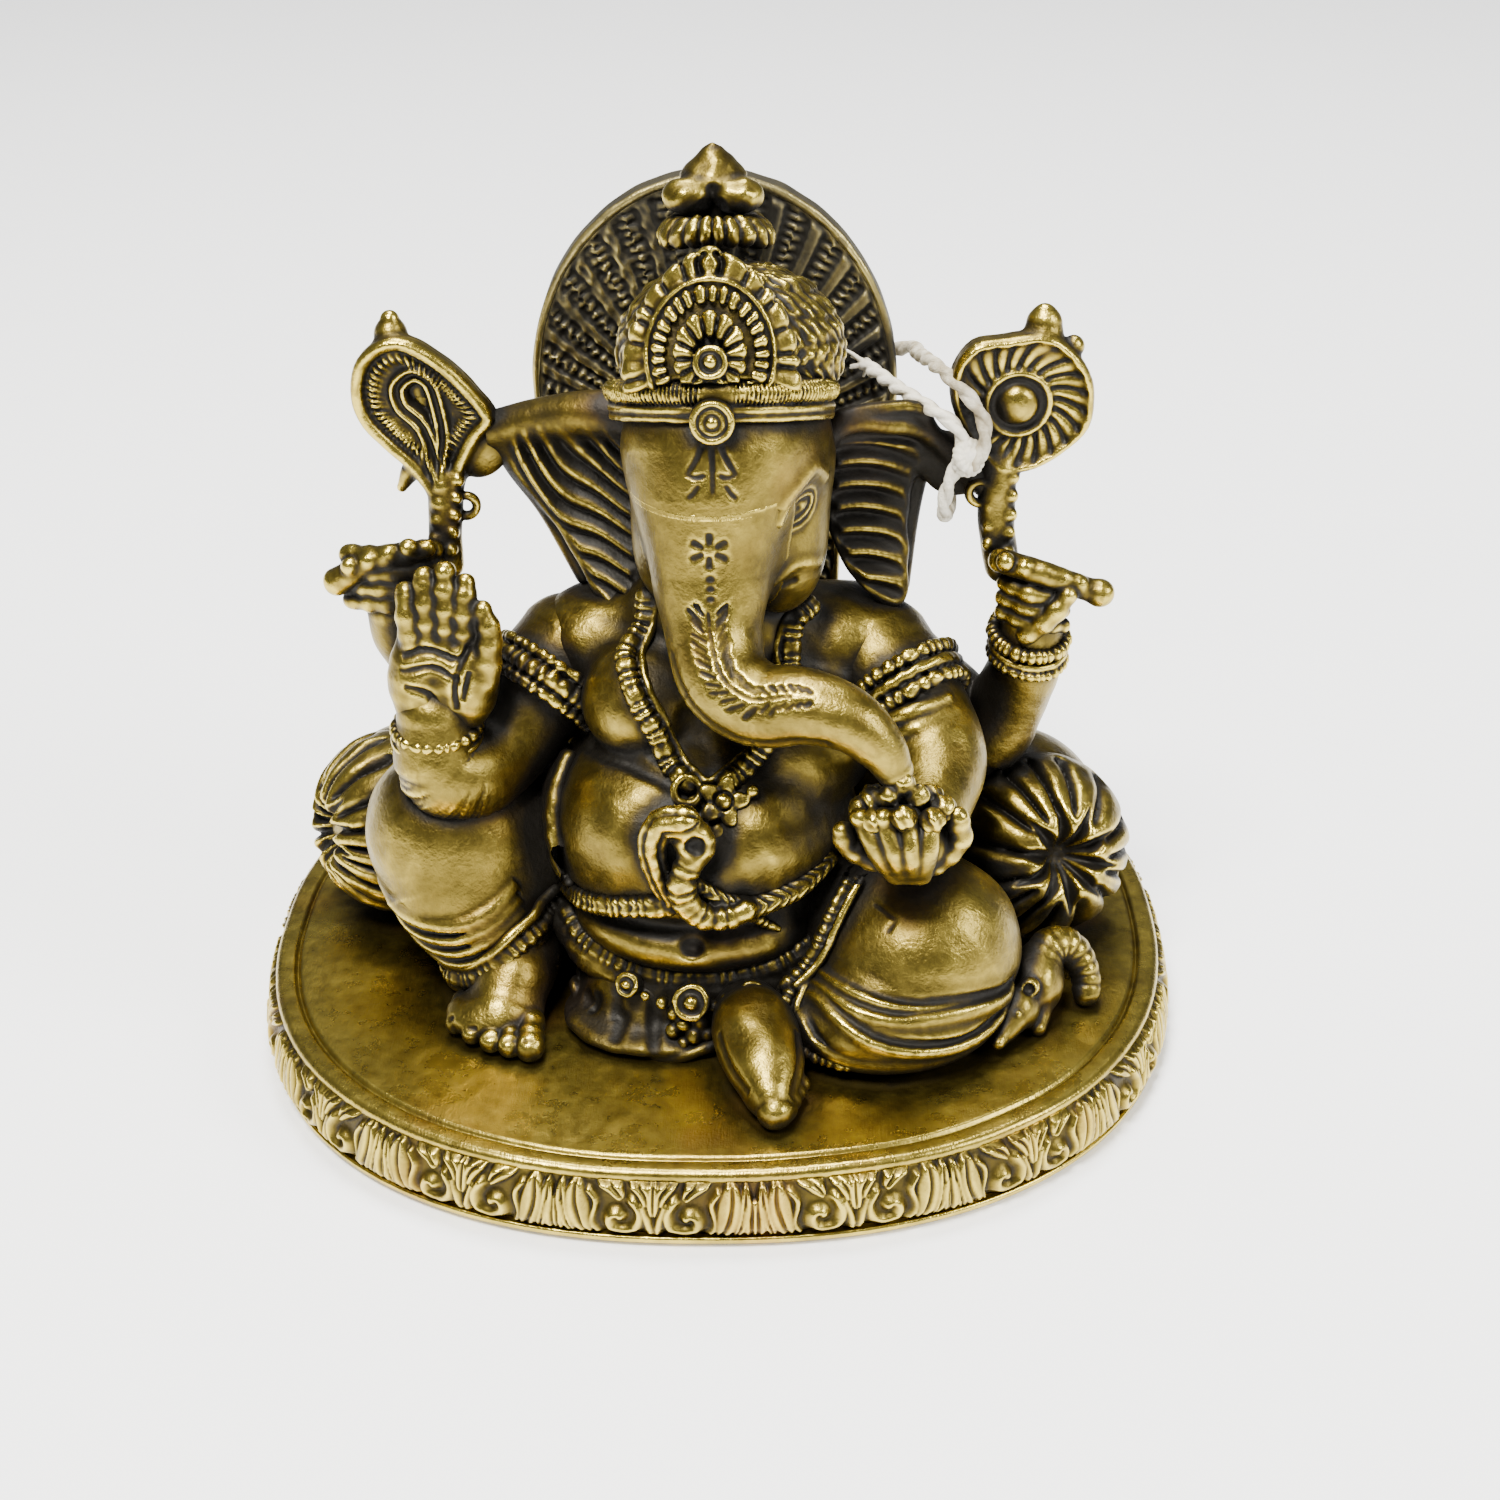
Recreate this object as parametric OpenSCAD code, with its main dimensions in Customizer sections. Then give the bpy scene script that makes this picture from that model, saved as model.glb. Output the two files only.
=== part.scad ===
// Seated elephant-headed deity on an oval base, a lost-wax brass casting.
// Every part of the wax pattern is a solid of its own. Front is -Y, up is +Z,
// and the origin is the middle of the underside of the base.

/* [Base] */
// Width of the base over its frieze
base_w = 116; // [114:1:120]
// Depth of the base over its frieze
base_d = 110; // [108:1:116]
// How square the oval is: 2 is an ellipse
squareness = 2.3; // [2:0.1:2.6]
// Height from the underside to the top of the deck
base_h = 10; // [9:0.5:12]
// Thickness of the cast wall and of the deck
wall = 3; // [2:0.5:4]
// Scroll and leaf motifs round the frieze
motifs = 16; // [8:2:20]
// How far the frieze stands out of the wall
relief = 0.9; // [0.6:0.1:1.2]
// How far the figure sits in front of the middle of the base
seat_y = 5; // [3:0.5:6]

/* [Bolster] */
// Radius of the long cushion behind the figure
bolster_r = 12; // [11:0.5:12.5]
// Flutes pressed into each gathered end
flutes = 10; // [6:1:14]

/* [Halo] */
// Half width of the arched panel behind the head
halo_half_w = 22.5; // [20:0.5:25]
// Height of the top of the panel above the deck
halo_top = 94.5; // [90:0.5:96]
// Thickness of the panel
halo_t = 3; // [2:0.5:4]
// Raised ribs on the face of the panel
halo_ribs = 17; // [9:2:25]

/* [Head] */
// Half width of the skull
skull_r = 12.5; // [11:0.5:14]
// Radius of the trunk where it leaves the face
trunk_root_r = 7.5; // [6:0.5:8.5]
// Radius of the trunk at its tip
trunk_tip_r = 2.4; // [2:0.2:3]
// Thickness of the ear flaps
ear_t = 3; // [2:0.5:4]

/* [Body] */
// Half width of the belly
belly_r = 19; // [17:0.5:21]
// Radius of the upper arms
arm_r = 5.5; // [4.5:0.5:6.5]
// Radius of the wrists
wrist_r = 4.2; // [3.5:0.1:4.8]
// Radius of the knees
knee_r = 10; // [9:0.5:11]
// Radius of a finger
finger_r = 1.5; // [1.2:0.1:1.8]

/* [Ornaments] */
// Thickness of the ribbed bands and beaded ropes
band_t = 2; // [1.6:0.1:2.6]
// Radius of the beads and of the sweets in the bowl hand
bead_r = 1.5; // [1:0.1:2]
// Petals round the rosette of the crown
petals = 16; // [8:2:20]

/* [String] */
// Thickness of the cotton tie
string_d = 1.8; // [1.4:0.1:2.2]

/* [Hidden] */
oval_sides = 72;
foot_h = 2;
slope = 1.6;
halo_y = 21;
head_at = [3, -2, 67];
crown_at = head_at + [-0.4, 0, 11];
belly_at = [-1, -4, 20];
right_shoulder = [-17, 3, 38];
left_shoulder = [20, 3, 38];
right_knee = [-32, -6, 20];
left_knee = [26, -18, 9.5];
right_palm = [-31, -9, 46];
left_bowl = [23.5, -26, 31];
right_fist = [-37, 0, 54];
left_fist = [40, -1, 50];
leaf_at = [-33.5, 5, 71];
disc_at = [36.3, 4, 71.8];
mouse_at = [41, -15, 5];
brass = "#8c7a3a";
bright = "#c9b765";
dark = "#5b4c22";
cotton = "#ece6d2";
rope_r = band_t / 2 + 0.2;
bead = [bead_r, bead_r, bead_r];
string_sides = 8;

// The figure is placed from the point of the deck that it sits on.
module on_deck() translate([0, -seat_y, base_h]) children();

// A point on a smooth curve from b to c, with a before them and d after them.
function spline(a, b, c, d, t) =
    b + 0.5 * t * ((c - a) + t * ((2 * a - 5 * b + 4 * c - d) + t * (3 * b - a - 3 * c + d)));

function smooth(path, steps) = let (last = len(path) - 1) [
    for (i = [0 : last - 1], k = [0 : steps - 1])
        spline(path[max(i - 1, 0)], path[i], path[i + 1], path[min(i + 2, last)], k / steps),
    path[last]];

// A ball at [x, y, z, radius].
module ball(p) translate([p[0], p[1], p[2]]) sphere(p[3], $fn = p[3] > 3.5 ? 14 : 8);

// A rounded rod of changing thickness through a list of [x, y, z, radius].
module rod(path, steps = 2) {
    way = smooth(path, steps);
    for (i = [0 : len(way) - 2]) hull() {
        ball(way[i]);
        ball(way[i + 1]);
    }
}

module egg(p, r, turn = [0, 0, 0]) hull()
    translate(p) rotate(turn) scale(r) sphere(1, $fn = max(r) > 4.5 ? 16 : 8);

module ring(p, r, t, turn = [0, 0, 0])
    translate(p) rotate(turn) rotate_extrude($fn = 64) translate([r, 0]) circle(t, $fn = 24);

function along(p, r) = [p[0], p[1], p[2], r];

// The edge of the oval at angle a, some way in from the widest line of the base.
function edge(a, inset) =
    let (x = abs(cos(a)) / (base_w / 2 - inset), y = abs(sin(a)) / (base_d / 2 - inset))
    pow(pow(x, squareness) + pow(y, squareness), -1 / squareness) * [cos(a), sin(a)];

module slab(inset, z, h)
    translate([0, 0, z]) linear_extrude(h)
        polygon([for (i = [0 : oval_sides - 1]) edge(i * 360 / oval_sides, inset)]);

// Carries a motif to the wall at angle a, with its own x along the wall and y up the wall.
module on_wall(a, inset, z)
    let (along = edge(a + 1, inset) - edge(a - 1, inset))
        translate([edge(a, inset).x, edge(a, inset).y, z])
            rotate([0, 0, atan2(along.y, along.x)]) rotate([82, 0, 0]) children();

module base_foot() color(brass)
    difference() {
        slab(0.6, 0, foot_h);
        slab(wall + relief, -foot_h, 3 * foot_h);
    }

module base_wall() color(dark)
    difference() {
        hull() {
            slab(relief, foot_h, base_h * 0.3);
            slab(relief + slope, base_h - slope, 0.1);
        }
        slab(wall + relief + slope, 0, base_h);
    }

module base_deck() color(brass)
    hull() {
        slab(relief + slope + 1, base_h - wall, wall);
        slab(relief + slope, base_h - 1.5, 0.8);
    }

// One motif: a pair of mirrored curls, then a bud between two long leaves.
module motif() {
    for (side = [-1, 1]) {
        translate([side * 2.6, -0.4]) rotate_extrude($fn = 32)
            translate([1.7, 0]) circle(relief / 2, $fn = 16);
        translate([side * 8.2, 0.6]) rotate([0, 0, side * 24]) linear_extrude(relief, center = true)
            scale([0.9, 3]) circle(1, $fn = 24);
    }
    translate([11, 0]) linear_extrude(relief, center = true) scale([0.9, 1.6]) circle(1, $fn = 24);
}

module base_frieze() color(bright)
    for (i = [0 : motifs - 1])
        on_wall((i + 0.25) * 360 / motifs, relief / 2 + 0.4, base_h * 0.46) motif();

module bolster() color(brass) on_deck()
    rod([[-39, 12, bolster_r, bolster_r], [-24, 22, bolster_r, bolster_r],
         [0, 25, bolster_r, bolster_r], [24, 21, bolster_r, bolster_r],
         [38, 10, bolster_r, bolster_r]]);

// A gathered end: a squashed ball with flutes running into its middle.
module gathered_end(p, turn) translate(p) rotate(turn) {
    egg([0, 0, 0], [bolster_r, bolster_r, bolster_r * 0.8]);
    for (i = [0 : flutes - 1]) rotate([0, 0, i * 360 / flutes])
        hull() {
            translate([bolster_r * 0.15, 0, bolster_r * 0.72]) cube(1, center = true);
            translate([bolster_r * 0.8, 0, bolster_r * 0.42]) cube([1, 2.4, 1], center = true);
        }
}

module bolster_left_end() color(bright) on_deck()
    gathered_end([41, 2, bolster_r], [90, 0, 15]);

module bolster_right_end() color(bright) on_deck()
    gathered_end([-42, 9, bolster_r], [90, 0, -70]);

module halo_shape(inset = 0) {
    translate([0, halo_top - 1.18 * halo_half_w]) scale([1, 1.18])
        circle(halo_half_w - inset, $fn = 96);
    translate([inset - halo_half_w * 0.66, 30]) square([1.32 * halo_half_w - 2 * inset, 32]);
}

module stand_up() translate([0.5, halo_y, 0]) rotate([90, 0, 0]) children();

module halo_panel() color(dark) on_deck() stand_up() {
    linear_extrude(halo_t, center = true) halo_shape(1);
    for (i = [0 : halo_ribs - 1]) let (a = i * 180 / (halo_ribs - 1))
        translate([0, 70, halo_t / 2]) rotate([0, 0, a]) translate([13.5, 0, 0])
            rotate([0, 90, 0]) cylinder(h = 12, r = 0.5, center = true, $fn = 16);
}

module halo_rim() color(bright) on_deck() stand_up()
    linear_extrude(halo_t + 0.6, center = true) difference() {
        halo_shape();
        halo_shape(1);
    }

module crown_dome() color(brass) on_deck()
    translate(crown_at + [0, 2.5, 3]) scale([skull_r + 0.8, skull_r, 12]) sphere(1, $fn = 64);

module crown_band() color(bright) on_deck()
    for (step = [0, 1])
        ring(crown_at + [0, 0, -3 * step], skull_r - 0.4 + 0.6 * step, band_t / 2 + 0.3 - 0.5 * step,
             [-16, 0, 0]);

module lean_back() translate(crown_at + [-1, -10.5, 4]) rotate([68, 0, 0]) children();

module crown_crest() color(brass) on_deck() lean_back()
    linear_extrude(3, center = true) intersection() {
        union() {
            translate([0, -1]) scale([1, 1.15]) circle(10.4, $fn = 64);
            translate([0, 8.4]) rotate(45) square(5.4, center = true);
        }
        translate([-12, -5.5]) square([24, 24]);
    }

module crown_rosette() color(bright) on_deck() lean_back() {
    cylinder(h = 3, r = 2.4, $fn = 32);
    for (i = [0 : petals - 1]) rotate([0, 0, i * 180 / (petals - 1)])
        translate([7, 0, 1.4]) rotate([0, 90, 0]) cylinder(h = 4, r = 0.8, center = true, $fn = 16);
    ring([0, 0, 1.4], 4.1, 0.9);
}

module crown_medallion() color(bright) on_deck()
    translate(head_at + [-1.4, -13.4, 10]) rotate([82, 0, 0]) {
        cylinder(h = 2.2, r = 2.6, $fn = 48);
        translate([0, 0, 2.2]) sphere(1.2, $fn = 24);
    }

module crown_garland() color(bright) on_deck()
    ring([1.5, 8, 91.5], 5.4, band_t / 2 + 0.3, [-10, 0, 0]);

module crown_finial() color(bright) on_deck() translate([1.2, 12, 94])
    rotate_extrude($fn = 64) polygon([[0, -4], [4.6, -2], [5.2, 0], [4.2, 2], [1.4, 4], [0, 5.2]]);

module head() color(brass) on_deck() {
    egg(head_at, [skull_r, skull_r, 14.5]);
    for (side = [-1, 1]) {
        egg(head_at + [side * 4.4 - 0.6, -5.5, 6], [skull_r - 5, 8, 8]);
        egg(head_at + [side * 5 - 0.4, -4, -8], [6.5, 7, 7]);
        egg(head_at + [side * 8.6 - 0.4, -7, 3.4], [3, 3.4, 2.2]);
    }
    egg(head_at + [-0.6, -4, -13], [6, 5, 5]);
}

module trunk() color(bright) on_deck()
    rod([[0.8, -10, 65, trunk_root_r], [1, -12.5, 57, trunk_root_r - 1.2],
         [1.4, -16, 51, trunk_root_r - 2], [2.6, -19.5, 47.2, trunk_root_r - 2.4],
         [6.5, -22, 45.4, trunk_root_r - 2.6], [11.5, -23.5, 46, trunk_root_r - 3],
         [16.5, -25, 45, 3.9], [20, -25.8, 42, 3.1], [21.8, -26, 38.8, trunk_tip_r]], 1);

// An ear is a thin fan between the side of the head, its outer tip and its lobe.
module ear(root, tip, lobe) {
    hull() {
        egg(root, [2, ear_t / 2 + 0.5, 11]);
        egg(tip, [2, ear_t / 2, 7]);
        egg(lobe, [2, ear_t / 2, 3]);
        egg((tip + lobe) / 2 + sign(tip.x) * [2, 0, 0], [2, ear_t / 2, 6]);
    }
    rod([along(root + [0, 0, 10], 1.6), along((root + tip) / 2 + [0, 0, 9.4], 1.6),
         along(tip + [0, 0, 6], 1.6), along(tip, 1.3)]);
}

module right_ear() color(brass) on_deck() ear([-10, 3, 62], [-21, 6, 61], [-14, 5, 48]);

// The left ear also has the web that joins it to the neck of the disc.
module left_ear() color(brass) on_deck() {
    ear([15, 3, 61], [26, 7, 59], [20, 5, 49]);
    rod([[26.5, 5.5, 65, 1.5], [30, 4, 64, 1.8], [34, 2.8, 60, 1.6]]);
}

module torso() color(brass) on_deck() {
    egg(belly_at, [belly_r, 19.5, 18]);
    egg([0.5, 3, 35], [19, 13, 14]);
    egg([0.5, 2, 46], [11, 10, 9]);
    egg([-0.5, -8, 13], [15, 15, 8]);
    for (side = [-1, 1]) {
        egg([side * 8, -6, 37], [8, 8, 8]);
        egg([1 + side * 14, 3, 41], [8, 8, 7]);
    }
}

module shawl() color(bright) on_deck()
    for (i = [0 : 2])
        rod([[-12 - 2 * i, -8 + i, 39, 1.2], [-15 - i, -10 + 1.5 * i, 31, 1.2],
             [-17.5 - i, -10.5 + 2 * i, 24, 1.2], [-17.5 - i, -10 + 2 * i, 18, 1.2]]);

module necklace() color(bright) on_deck() {
    rod([[-7, -7, 50, rope_r], [-8.5, -12, 42, rope_r], [-4.5, -17.5, 35.5, rope_r],
         [1, -20.5, 33.6, rope_r]]);
    rod([[13, -6, 50, rope_r], [9, -12.5, 42, rope_r], [5.5, -18, 36, rope_r],
         [1, -20.5, 33.6, rope_r]]);
}

module pendant() color(bright) on_deck() {
    for (i = [0 : 5]) egg([1 + 2.6 * cos(60 * i), -22, 35 + 2.6 * sin(60 * i)], bead);
    egg([1, -22.6, 35], 1.2 * bead);
    egg([1.2, -23, 31], bead);
}

module snake_belt() color(bright) on_deck() {
    rod([[-18, -12, 18, 1], [-12, -19.5, 19.5, 1.2], [-6, -22.8, 20.5, 1.3]]);
    rod([[-6.5, -23, 21, 1.4], [-5.6, -24, 30, 1.4], [-2.6, -24.6, 33, 1.6],
         [-0.2, -24.8, 29, 1.8], [-0.4, -25, 23, 1.6], [3, -24.6, 20.2, 1.5]]);
    rod([[2, -24, 22.5, 1.6], [8, -22.4, 20.5, 1.6], [14, -18.5, 22, 1.5]]);
}

module girdle() color(bright) on_deck()
    for (step = [0, 1])
        rod([[-17, -13, 14 - 2 * step, rope_r], [-9, -21, 10.5 - 2 * step, rope_r],
             [0, -24, 9 - 2 * step, rope_r], [9, -22.5, 11 - 2 * step, rope_r]]);

module girdle_medallions() color(bright) on_deck() {
    translate([-9, -22, 10]) rotate([90, 0, -15]) cylinder(h = 1.6, r = 1.6, $fn = 32);
    translate([-1.6, -24.4, 9]) rotate([90, 0, 0]) cylinder(h = 1.8, r = 2.3, $fn = 32);
    translate([5.6, -24, 10]) rotate([90, 0, 10]) cylinder(h = 1.6, r = 1.6, $fn = 32);
    translate([-1.6, -25.4, 4]) rotate([90, 0, 0]) cylinder(h = 1.8, r = 2, $fn = 32);
}

module apron() color(brass) on_deck()
    hull() {
        egg([-7, -14, 6], [8, 8, 6]);
        egg([-7.5, -21, 1.6], [8, 6, 1.5]);
        egg([2, -19, 5], [6, 6, 5]);
    }

module right_front_arm() color(brass) on_deck()
    rod([along(right_shoulder, 8), [-23, -4, 33, arm_r + 0.5], [-28, -9, 30.5, arm_r + 0.5],
         [-32.5, -10, 33, wrist_r + 0.6], [-32.8, -9.6, 38, wrist_r]]);

// Four closed fingers above the palm, and a thumb beside them.
module right_front_hand() color(bright) on_deck() {
    egg(right_palm + [0, 0.5, -1], [6.6, 3, 8]);
    for (i = [0 : 3]) let (x = 2.9 * i - 4.4, top = 12 - 0.7 * abs(i - 1.4))
        rod([along(right_palm + [x, -0.6, 4], finger_r),
             along(right_palm + [0.8 * x + 1, 0.8, top], finger_r)]);
    rod([along(right_palm + [4, -1.5, -4], finger_r + 0.4),
         along(right_palm + [6, -1.6, 2.4], finger_r)]);
}

module right_armlet() color(bright) on_deck()
    ring([-20.5, -1, 36], 6.6, band_t / 2, [40, -42, 0]);

module right_bracelet() color(bright) on_deck()
    ring([-32.8, -9.7, 37], wrist_r + 0.9, band_t / 2, [6, 0, 0]);

module right_rear_arm() color(brass) on_deck()
    rod([along(right_shoulder + [0, 1, 0], 7), [-29, 5, 32, arm_r - 0.5], [-34, 4, 37, arm_r - 1],
         [-38, 1, 43, wrist_r - 0.5]], 3);

module right_rear_hand() color(brass) on_deck() {
    egg(right_fist + [-1, 0, -4], [4.2, 3.4, 5]);
    for (i = [0 : 3])
        rod([along(right_fist + [4, -1, 1.4 - 1.8 * i], finger_r - 0.2),
             along(right_fist + [-5.6, -1, 1 - 1.8 * i], finger_r - 0.1)]);
}

module emblem_stem(low, high) {
    rod([along(low, 2), along(high, 1.8)]);
    for (i = [0 : 3]) egg(low + (high - low) * i / 3 + [0, -1.4, 0], bead);
}

module leaf_emblem() color(brass) on_deck() {
    egg(leaf_at, [8.2, 2.4, 10], [0, 18, 0]);
    emblem_stem([-31.5, 1.5, 52], [-30.5, 3.6, 62]);
    rod([along(leaf_at + [-3, 0.6, 9], 2), along(leaf_at + [-3, 1, 11.6], 1.2)]);
}

module left_front_arm() color(brass) on_deck()
    rod([along(left_shoulder, 8), [27, -4, 35, arm_r + 0.6], [30, -9, 31, arm_r + 0.8],
         [27.5, -17, 29.5, wrist_r + 0.4], [25, -22, 29, wrist_r]]);

// A cupped hand with its fingers up round the sweets.
module left_front_hand() color(bright) on_deck() {
    egg(left_bowl + [0, 0, -1], [6.4, 4.6, 5]);
    for (i = [0 : 3])
        rod([along(left_bowl + [2.5 * i - 5, -3, -1], finger_r + 0.1),
             along(left_bowl + [2.8 * i - 5.6, -3.4, 4.6 - 0.3 * i], finger_r)]);
    rod([along(left_bowl + [5, -1, -1], finger_r + 0.2),
         along(left_bowl + [6.6, -1, 5], finger_r)]);
}

module sweets() color(dark) on_deck() {
    for (i = [0 : 6])
        egg(left_bowl + [3 * cos(51.4 * i), 2.4 * sin(51.4 * i) - 1, 5], 1.2 * bead);
    egg(left_bowl + [0, -1, 6.6], 1.2 * bead);
}

module left_armlet() color(bright) on_deck()
    ring([25, -3, 36.5], 6.6, band_t / 2, [40, 42, 0]);

module left_rear_arm() color(brass) on_deck()
    rod([along(left_shoulder + [0, 2, 0], 7), [34.5, 5, 26, arm_r], [36.8, 3, 34, arm_r - 0.8],
         [38.8, -0.5, 43, wrist_r]], 3);

module left_rear_hand() color(brass) on_deck() {
    egg(left_fist + [-1, 0, -3], [4, 3.4, 5]);
    for (i = [0 : 3])
        rod([along(left_fist + [-4, -1.5, 3.4 - 1.8 * i], finger_r - 0.2),
             along(left_fist + [5, -1.5, 2 - 1.5 * i], finger_r - 0.1)]);
}

module left_bracelet() color(bright) on_deck()
    ring([38.8, -0.4, 43], wrist_r + 0.8, band_t / 2, [14, 8, 0]);

module disc_emblem() color(brass) on_deck() {
    egg(disc_at, [8.4, 2.4, 8.6]);
    egg(disc_at + [-0.4, -2, 0], [2.6, 1.6, 2.6]);
    emblem_stem([34.8, 2, 53], [34, 3.4, 63.5]);
    rod([along(disc_at + [3, 1, 7.5], 2), along(disc_at + [3, 1.6, 9.6], 1.4)]);
}

module right_leg() color(bright) on_deck()
    rod([[-12, 2, 11, knee_r], along(right_knee, knee_r), [-29, -10, 12, knee_r - 1.5],
         [-25.5, -12, 8, 6.6]], 3);

module right_leg_hem() color(brass) on_deck()
    for (i = [0 : 3])
        ring([-26.5 - 0.7 * i, -11.6 + 0.6 * i, 8 + 2.6 * i], 7 + 0.7 * i, 1.1, [24, 20, 0]);

module right_foot() color(brass) on_deck() {
    hull() {
        egg([-24, -13, 5], [4.6, 5, 5]);
        egg([-25.5, -21, 2.2], [5, 4.4, 2.2]);
    }
    for (i = [0 : 4])
        egg([-21 - 2.5 * i, -25.2 + 0.25 * i * i, 1.5], [1.5 - 0.1 * i, 2.2, 1.4]);
}

module right_anklet() color(bright) on_deck() ring([-24.6, -15.5, 6.4], 5.2, 1, [50, 10, 0]);

module left_leg() color(bright) on_deck() {
    rod([[12, -2, 10, knee_r], along(left_knee + [0, 0, 0.5], knee_r), [20, -25, 6, 6]], 4);
    egg([21, -22, 5.4], [14, 11.5, 5.4]);
}

module left_leg_hem() color(brass) on_deck()
    for (i = [0 : 3])
        rod([[12 + 1.5 * i, -18 + 1.4 * i, 14.4 - i, 1.1],
             [12.5 + 1.5 * i, -26.6 + 0.2 * i, 9.4 - 1.5 * i, 1.1],
             [20 + 3 * i, -30.5 + i, 4.4 - 0.9 * i, 1.1]]);

module left_foot() color(bright) on_deck() {
    hull() {
        egg([4.6, -27, 4.4], [4.6, 4.6, 4.4]);
        egg([6.6, -35, 3.4], [4, 5, 3.4]);
        egg([8, -39.6, 1.9], [2.6, 2.2, 1.9]);
    }
    for (i = [0 : 3]) egg([10.4 - 0.6 * i, -36 - 1.3 * i, 1.7], [1.5, 1.2, 1.4]);
}

module mouse() color(brass) on_deck() {
    egg(mouse_at, [4, 5.2, 5]);
    egg(mouse_at + [-3.6, -7, -1.6], [2.5, 3.4, 2.6]);
    rod([along(mouse_at + [-1, -3, -3], 1.5), along(mouse_at + [-0.4, -6, -4], 1)]);
    rod([along(mouse_at + [1, 2, -3.4], 1.4), along(mouse_at + [4.4, -1, -3.8], 1.1),
         along(mouse_at + [3.2, -5, -4], 1)]);
}

// The shop's cotton tie: round the web beside the left ear, through the knot, and over to a
// loose end on the face of the panel.
string_path = [[30.6, 7.2, 65], [29.8, 7.6, 61.8], [29.2, 6.6, 59], [28.6, 3.8, 57.8],
               [28.1, 1.2, 58.7], [28.1, 0.1, 61.3], [28.8, -0.2, 64], [29.8, -0.1, 66.4],
               [29.9, 0, 68.5], [28.9, 0.4, 70.2], [27, 1.6, 71.2], [24.9, 4.4, 71.6],
               [22.6, 8.6, 71.7], [20.7, 13, 71.6], [18.9, 17.6, 71.4]];

// Its other end: from the knot, past the edge of the disc and round behind the panel.
loop_path = [[31.4, -0.9, 65.6], [32.4, -0.5, 68], [32.4, 0.1, 70.4], [31.2, 0.8, 72.6],
             [29, 1.9, 74.8], [26.9, 5.4, 75.6], [25.7, 10.6, 74.8], [25.2, 15.2, 73.6],
             [25.3, 19.6, 72.5], [24.6, 23.4, 71.4], [22.3, 25.5, 70.2], [19.4, 25.2, 69],
             [16.8, 24, 68]];
knot_at = [30.6, -0.6, 66.4];

function heading(path, i) =
    let (a = path[max(i - 1, 0)], b = path[min(i + 1, len(path) - 1)]) (b - a) / norm(b - a);

// A direction across the string, carried along it without a twist.
function side_of(path, i) =
    let (t = heading(path, i),
         before = i == 0 ? cross(t, [1, 0, 0]) : side_of(path, i - 1),
         u = before - (before * t) * t)
    u / norm(u);

function string_ring(path, i) =
    let (u = side_of(path, i), v = cross(heading(path, i), u))
    [for (k = [0 : string_sides - 1]) let (a = -k * 360 / string_sides)
        path[i] + string_d / 2 * (cos(a) * u + sin(a) * v)];

module string_tube(path) {
    n = string_sides;
    last = len(path) - 1;
    polyhedron(
        points = [for (i = [0 : last]) each string_ring(path, i)],
        faces = concat(
            [[for (k = [0 : n - 1]) k]],
            [[for (k = [n - 1 : -1 : 0]) last * n + k]],
            [for (i = [0 : last - 1], k = [0 : n - 1])
                [i * n + k, (i + 1) * n + k, (i + 1) * n + (k + 1) % n, i * n + (k + 1) % n]]));
}

module tag_string() color(cotton) on_deck() string_tube(string_path);

module tag_string_loop() color(cotton) on_deck() string_tube(loop_path);

module string_knot() color(cotton) on_deck() egg(knot_at, string_d * [1.1, 0.8, 1]);

base_foot();
base_wall();
base_deck();
base_frieze();
bolster();
bolster_left_end();
bolster_right_end();
halo_panel();
halo_rim();
crown_dome();
crown_band();
crown_crest();
crown_rosette();
crown_medallion();
crown_garland();
crown_finial();
head();
trunk();
right_ear();
left_ear();
torso();
shawl();
necklace();
pendant();
snake_belt();
girdle();
girdle_medallions();
apron();
right_front_arm();
right_front_hand();
right_armlet();
right_bracelet();
right_rear_arm();
right_rear_hand();
leaf_emblem();
left_front_arm();
left_front_hand();
sweets();
left_armlet();
left_rear_arm();
left_rear_hand();
left_bracelet();
disc_emblem();
right_leg();
right_leg_hem();
right_foot();
right_anklet();
left_leg();
left_leg_hem();
left_foot();
mouse();
tag_string();
tag_string_loop();
string_knot();
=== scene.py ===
import math
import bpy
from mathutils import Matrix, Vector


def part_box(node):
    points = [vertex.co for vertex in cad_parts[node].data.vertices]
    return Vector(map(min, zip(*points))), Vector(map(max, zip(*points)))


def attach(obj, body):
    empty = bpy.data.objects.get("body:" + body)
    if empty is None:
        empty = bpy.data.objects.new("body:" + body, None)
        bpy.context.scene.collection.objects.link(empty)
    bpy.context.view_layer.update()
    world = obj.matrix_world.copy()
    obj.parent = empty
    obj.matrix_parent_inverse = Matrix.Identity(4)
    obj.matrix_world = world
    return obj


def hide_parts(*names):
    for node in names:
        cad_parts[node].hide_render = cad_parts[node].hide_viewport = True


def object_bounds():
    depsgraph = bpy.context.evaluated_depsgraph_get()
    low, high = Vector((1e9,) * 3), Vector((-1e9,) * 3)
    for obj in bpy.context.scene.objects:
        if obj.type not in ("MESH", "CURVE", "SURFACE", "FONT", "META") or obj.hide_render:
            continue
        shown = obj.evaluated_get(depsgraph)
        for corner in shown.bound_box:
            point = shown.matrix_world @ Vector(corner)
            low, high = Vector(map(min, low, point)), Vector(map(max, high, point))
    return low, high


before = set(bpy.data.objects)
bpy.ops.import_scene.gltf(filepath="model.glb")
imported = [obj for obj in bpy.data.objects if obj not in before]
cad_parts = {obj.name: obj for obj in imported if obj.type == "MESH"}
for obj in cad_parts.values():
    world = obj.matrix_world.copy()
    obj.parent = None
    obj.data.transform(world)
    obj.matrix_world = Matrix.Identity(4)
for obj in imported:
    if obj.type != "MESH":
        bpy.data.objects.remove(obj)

from concurrent.futures import ThreadPoolExecutor
from functools import lru_cache

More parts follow.
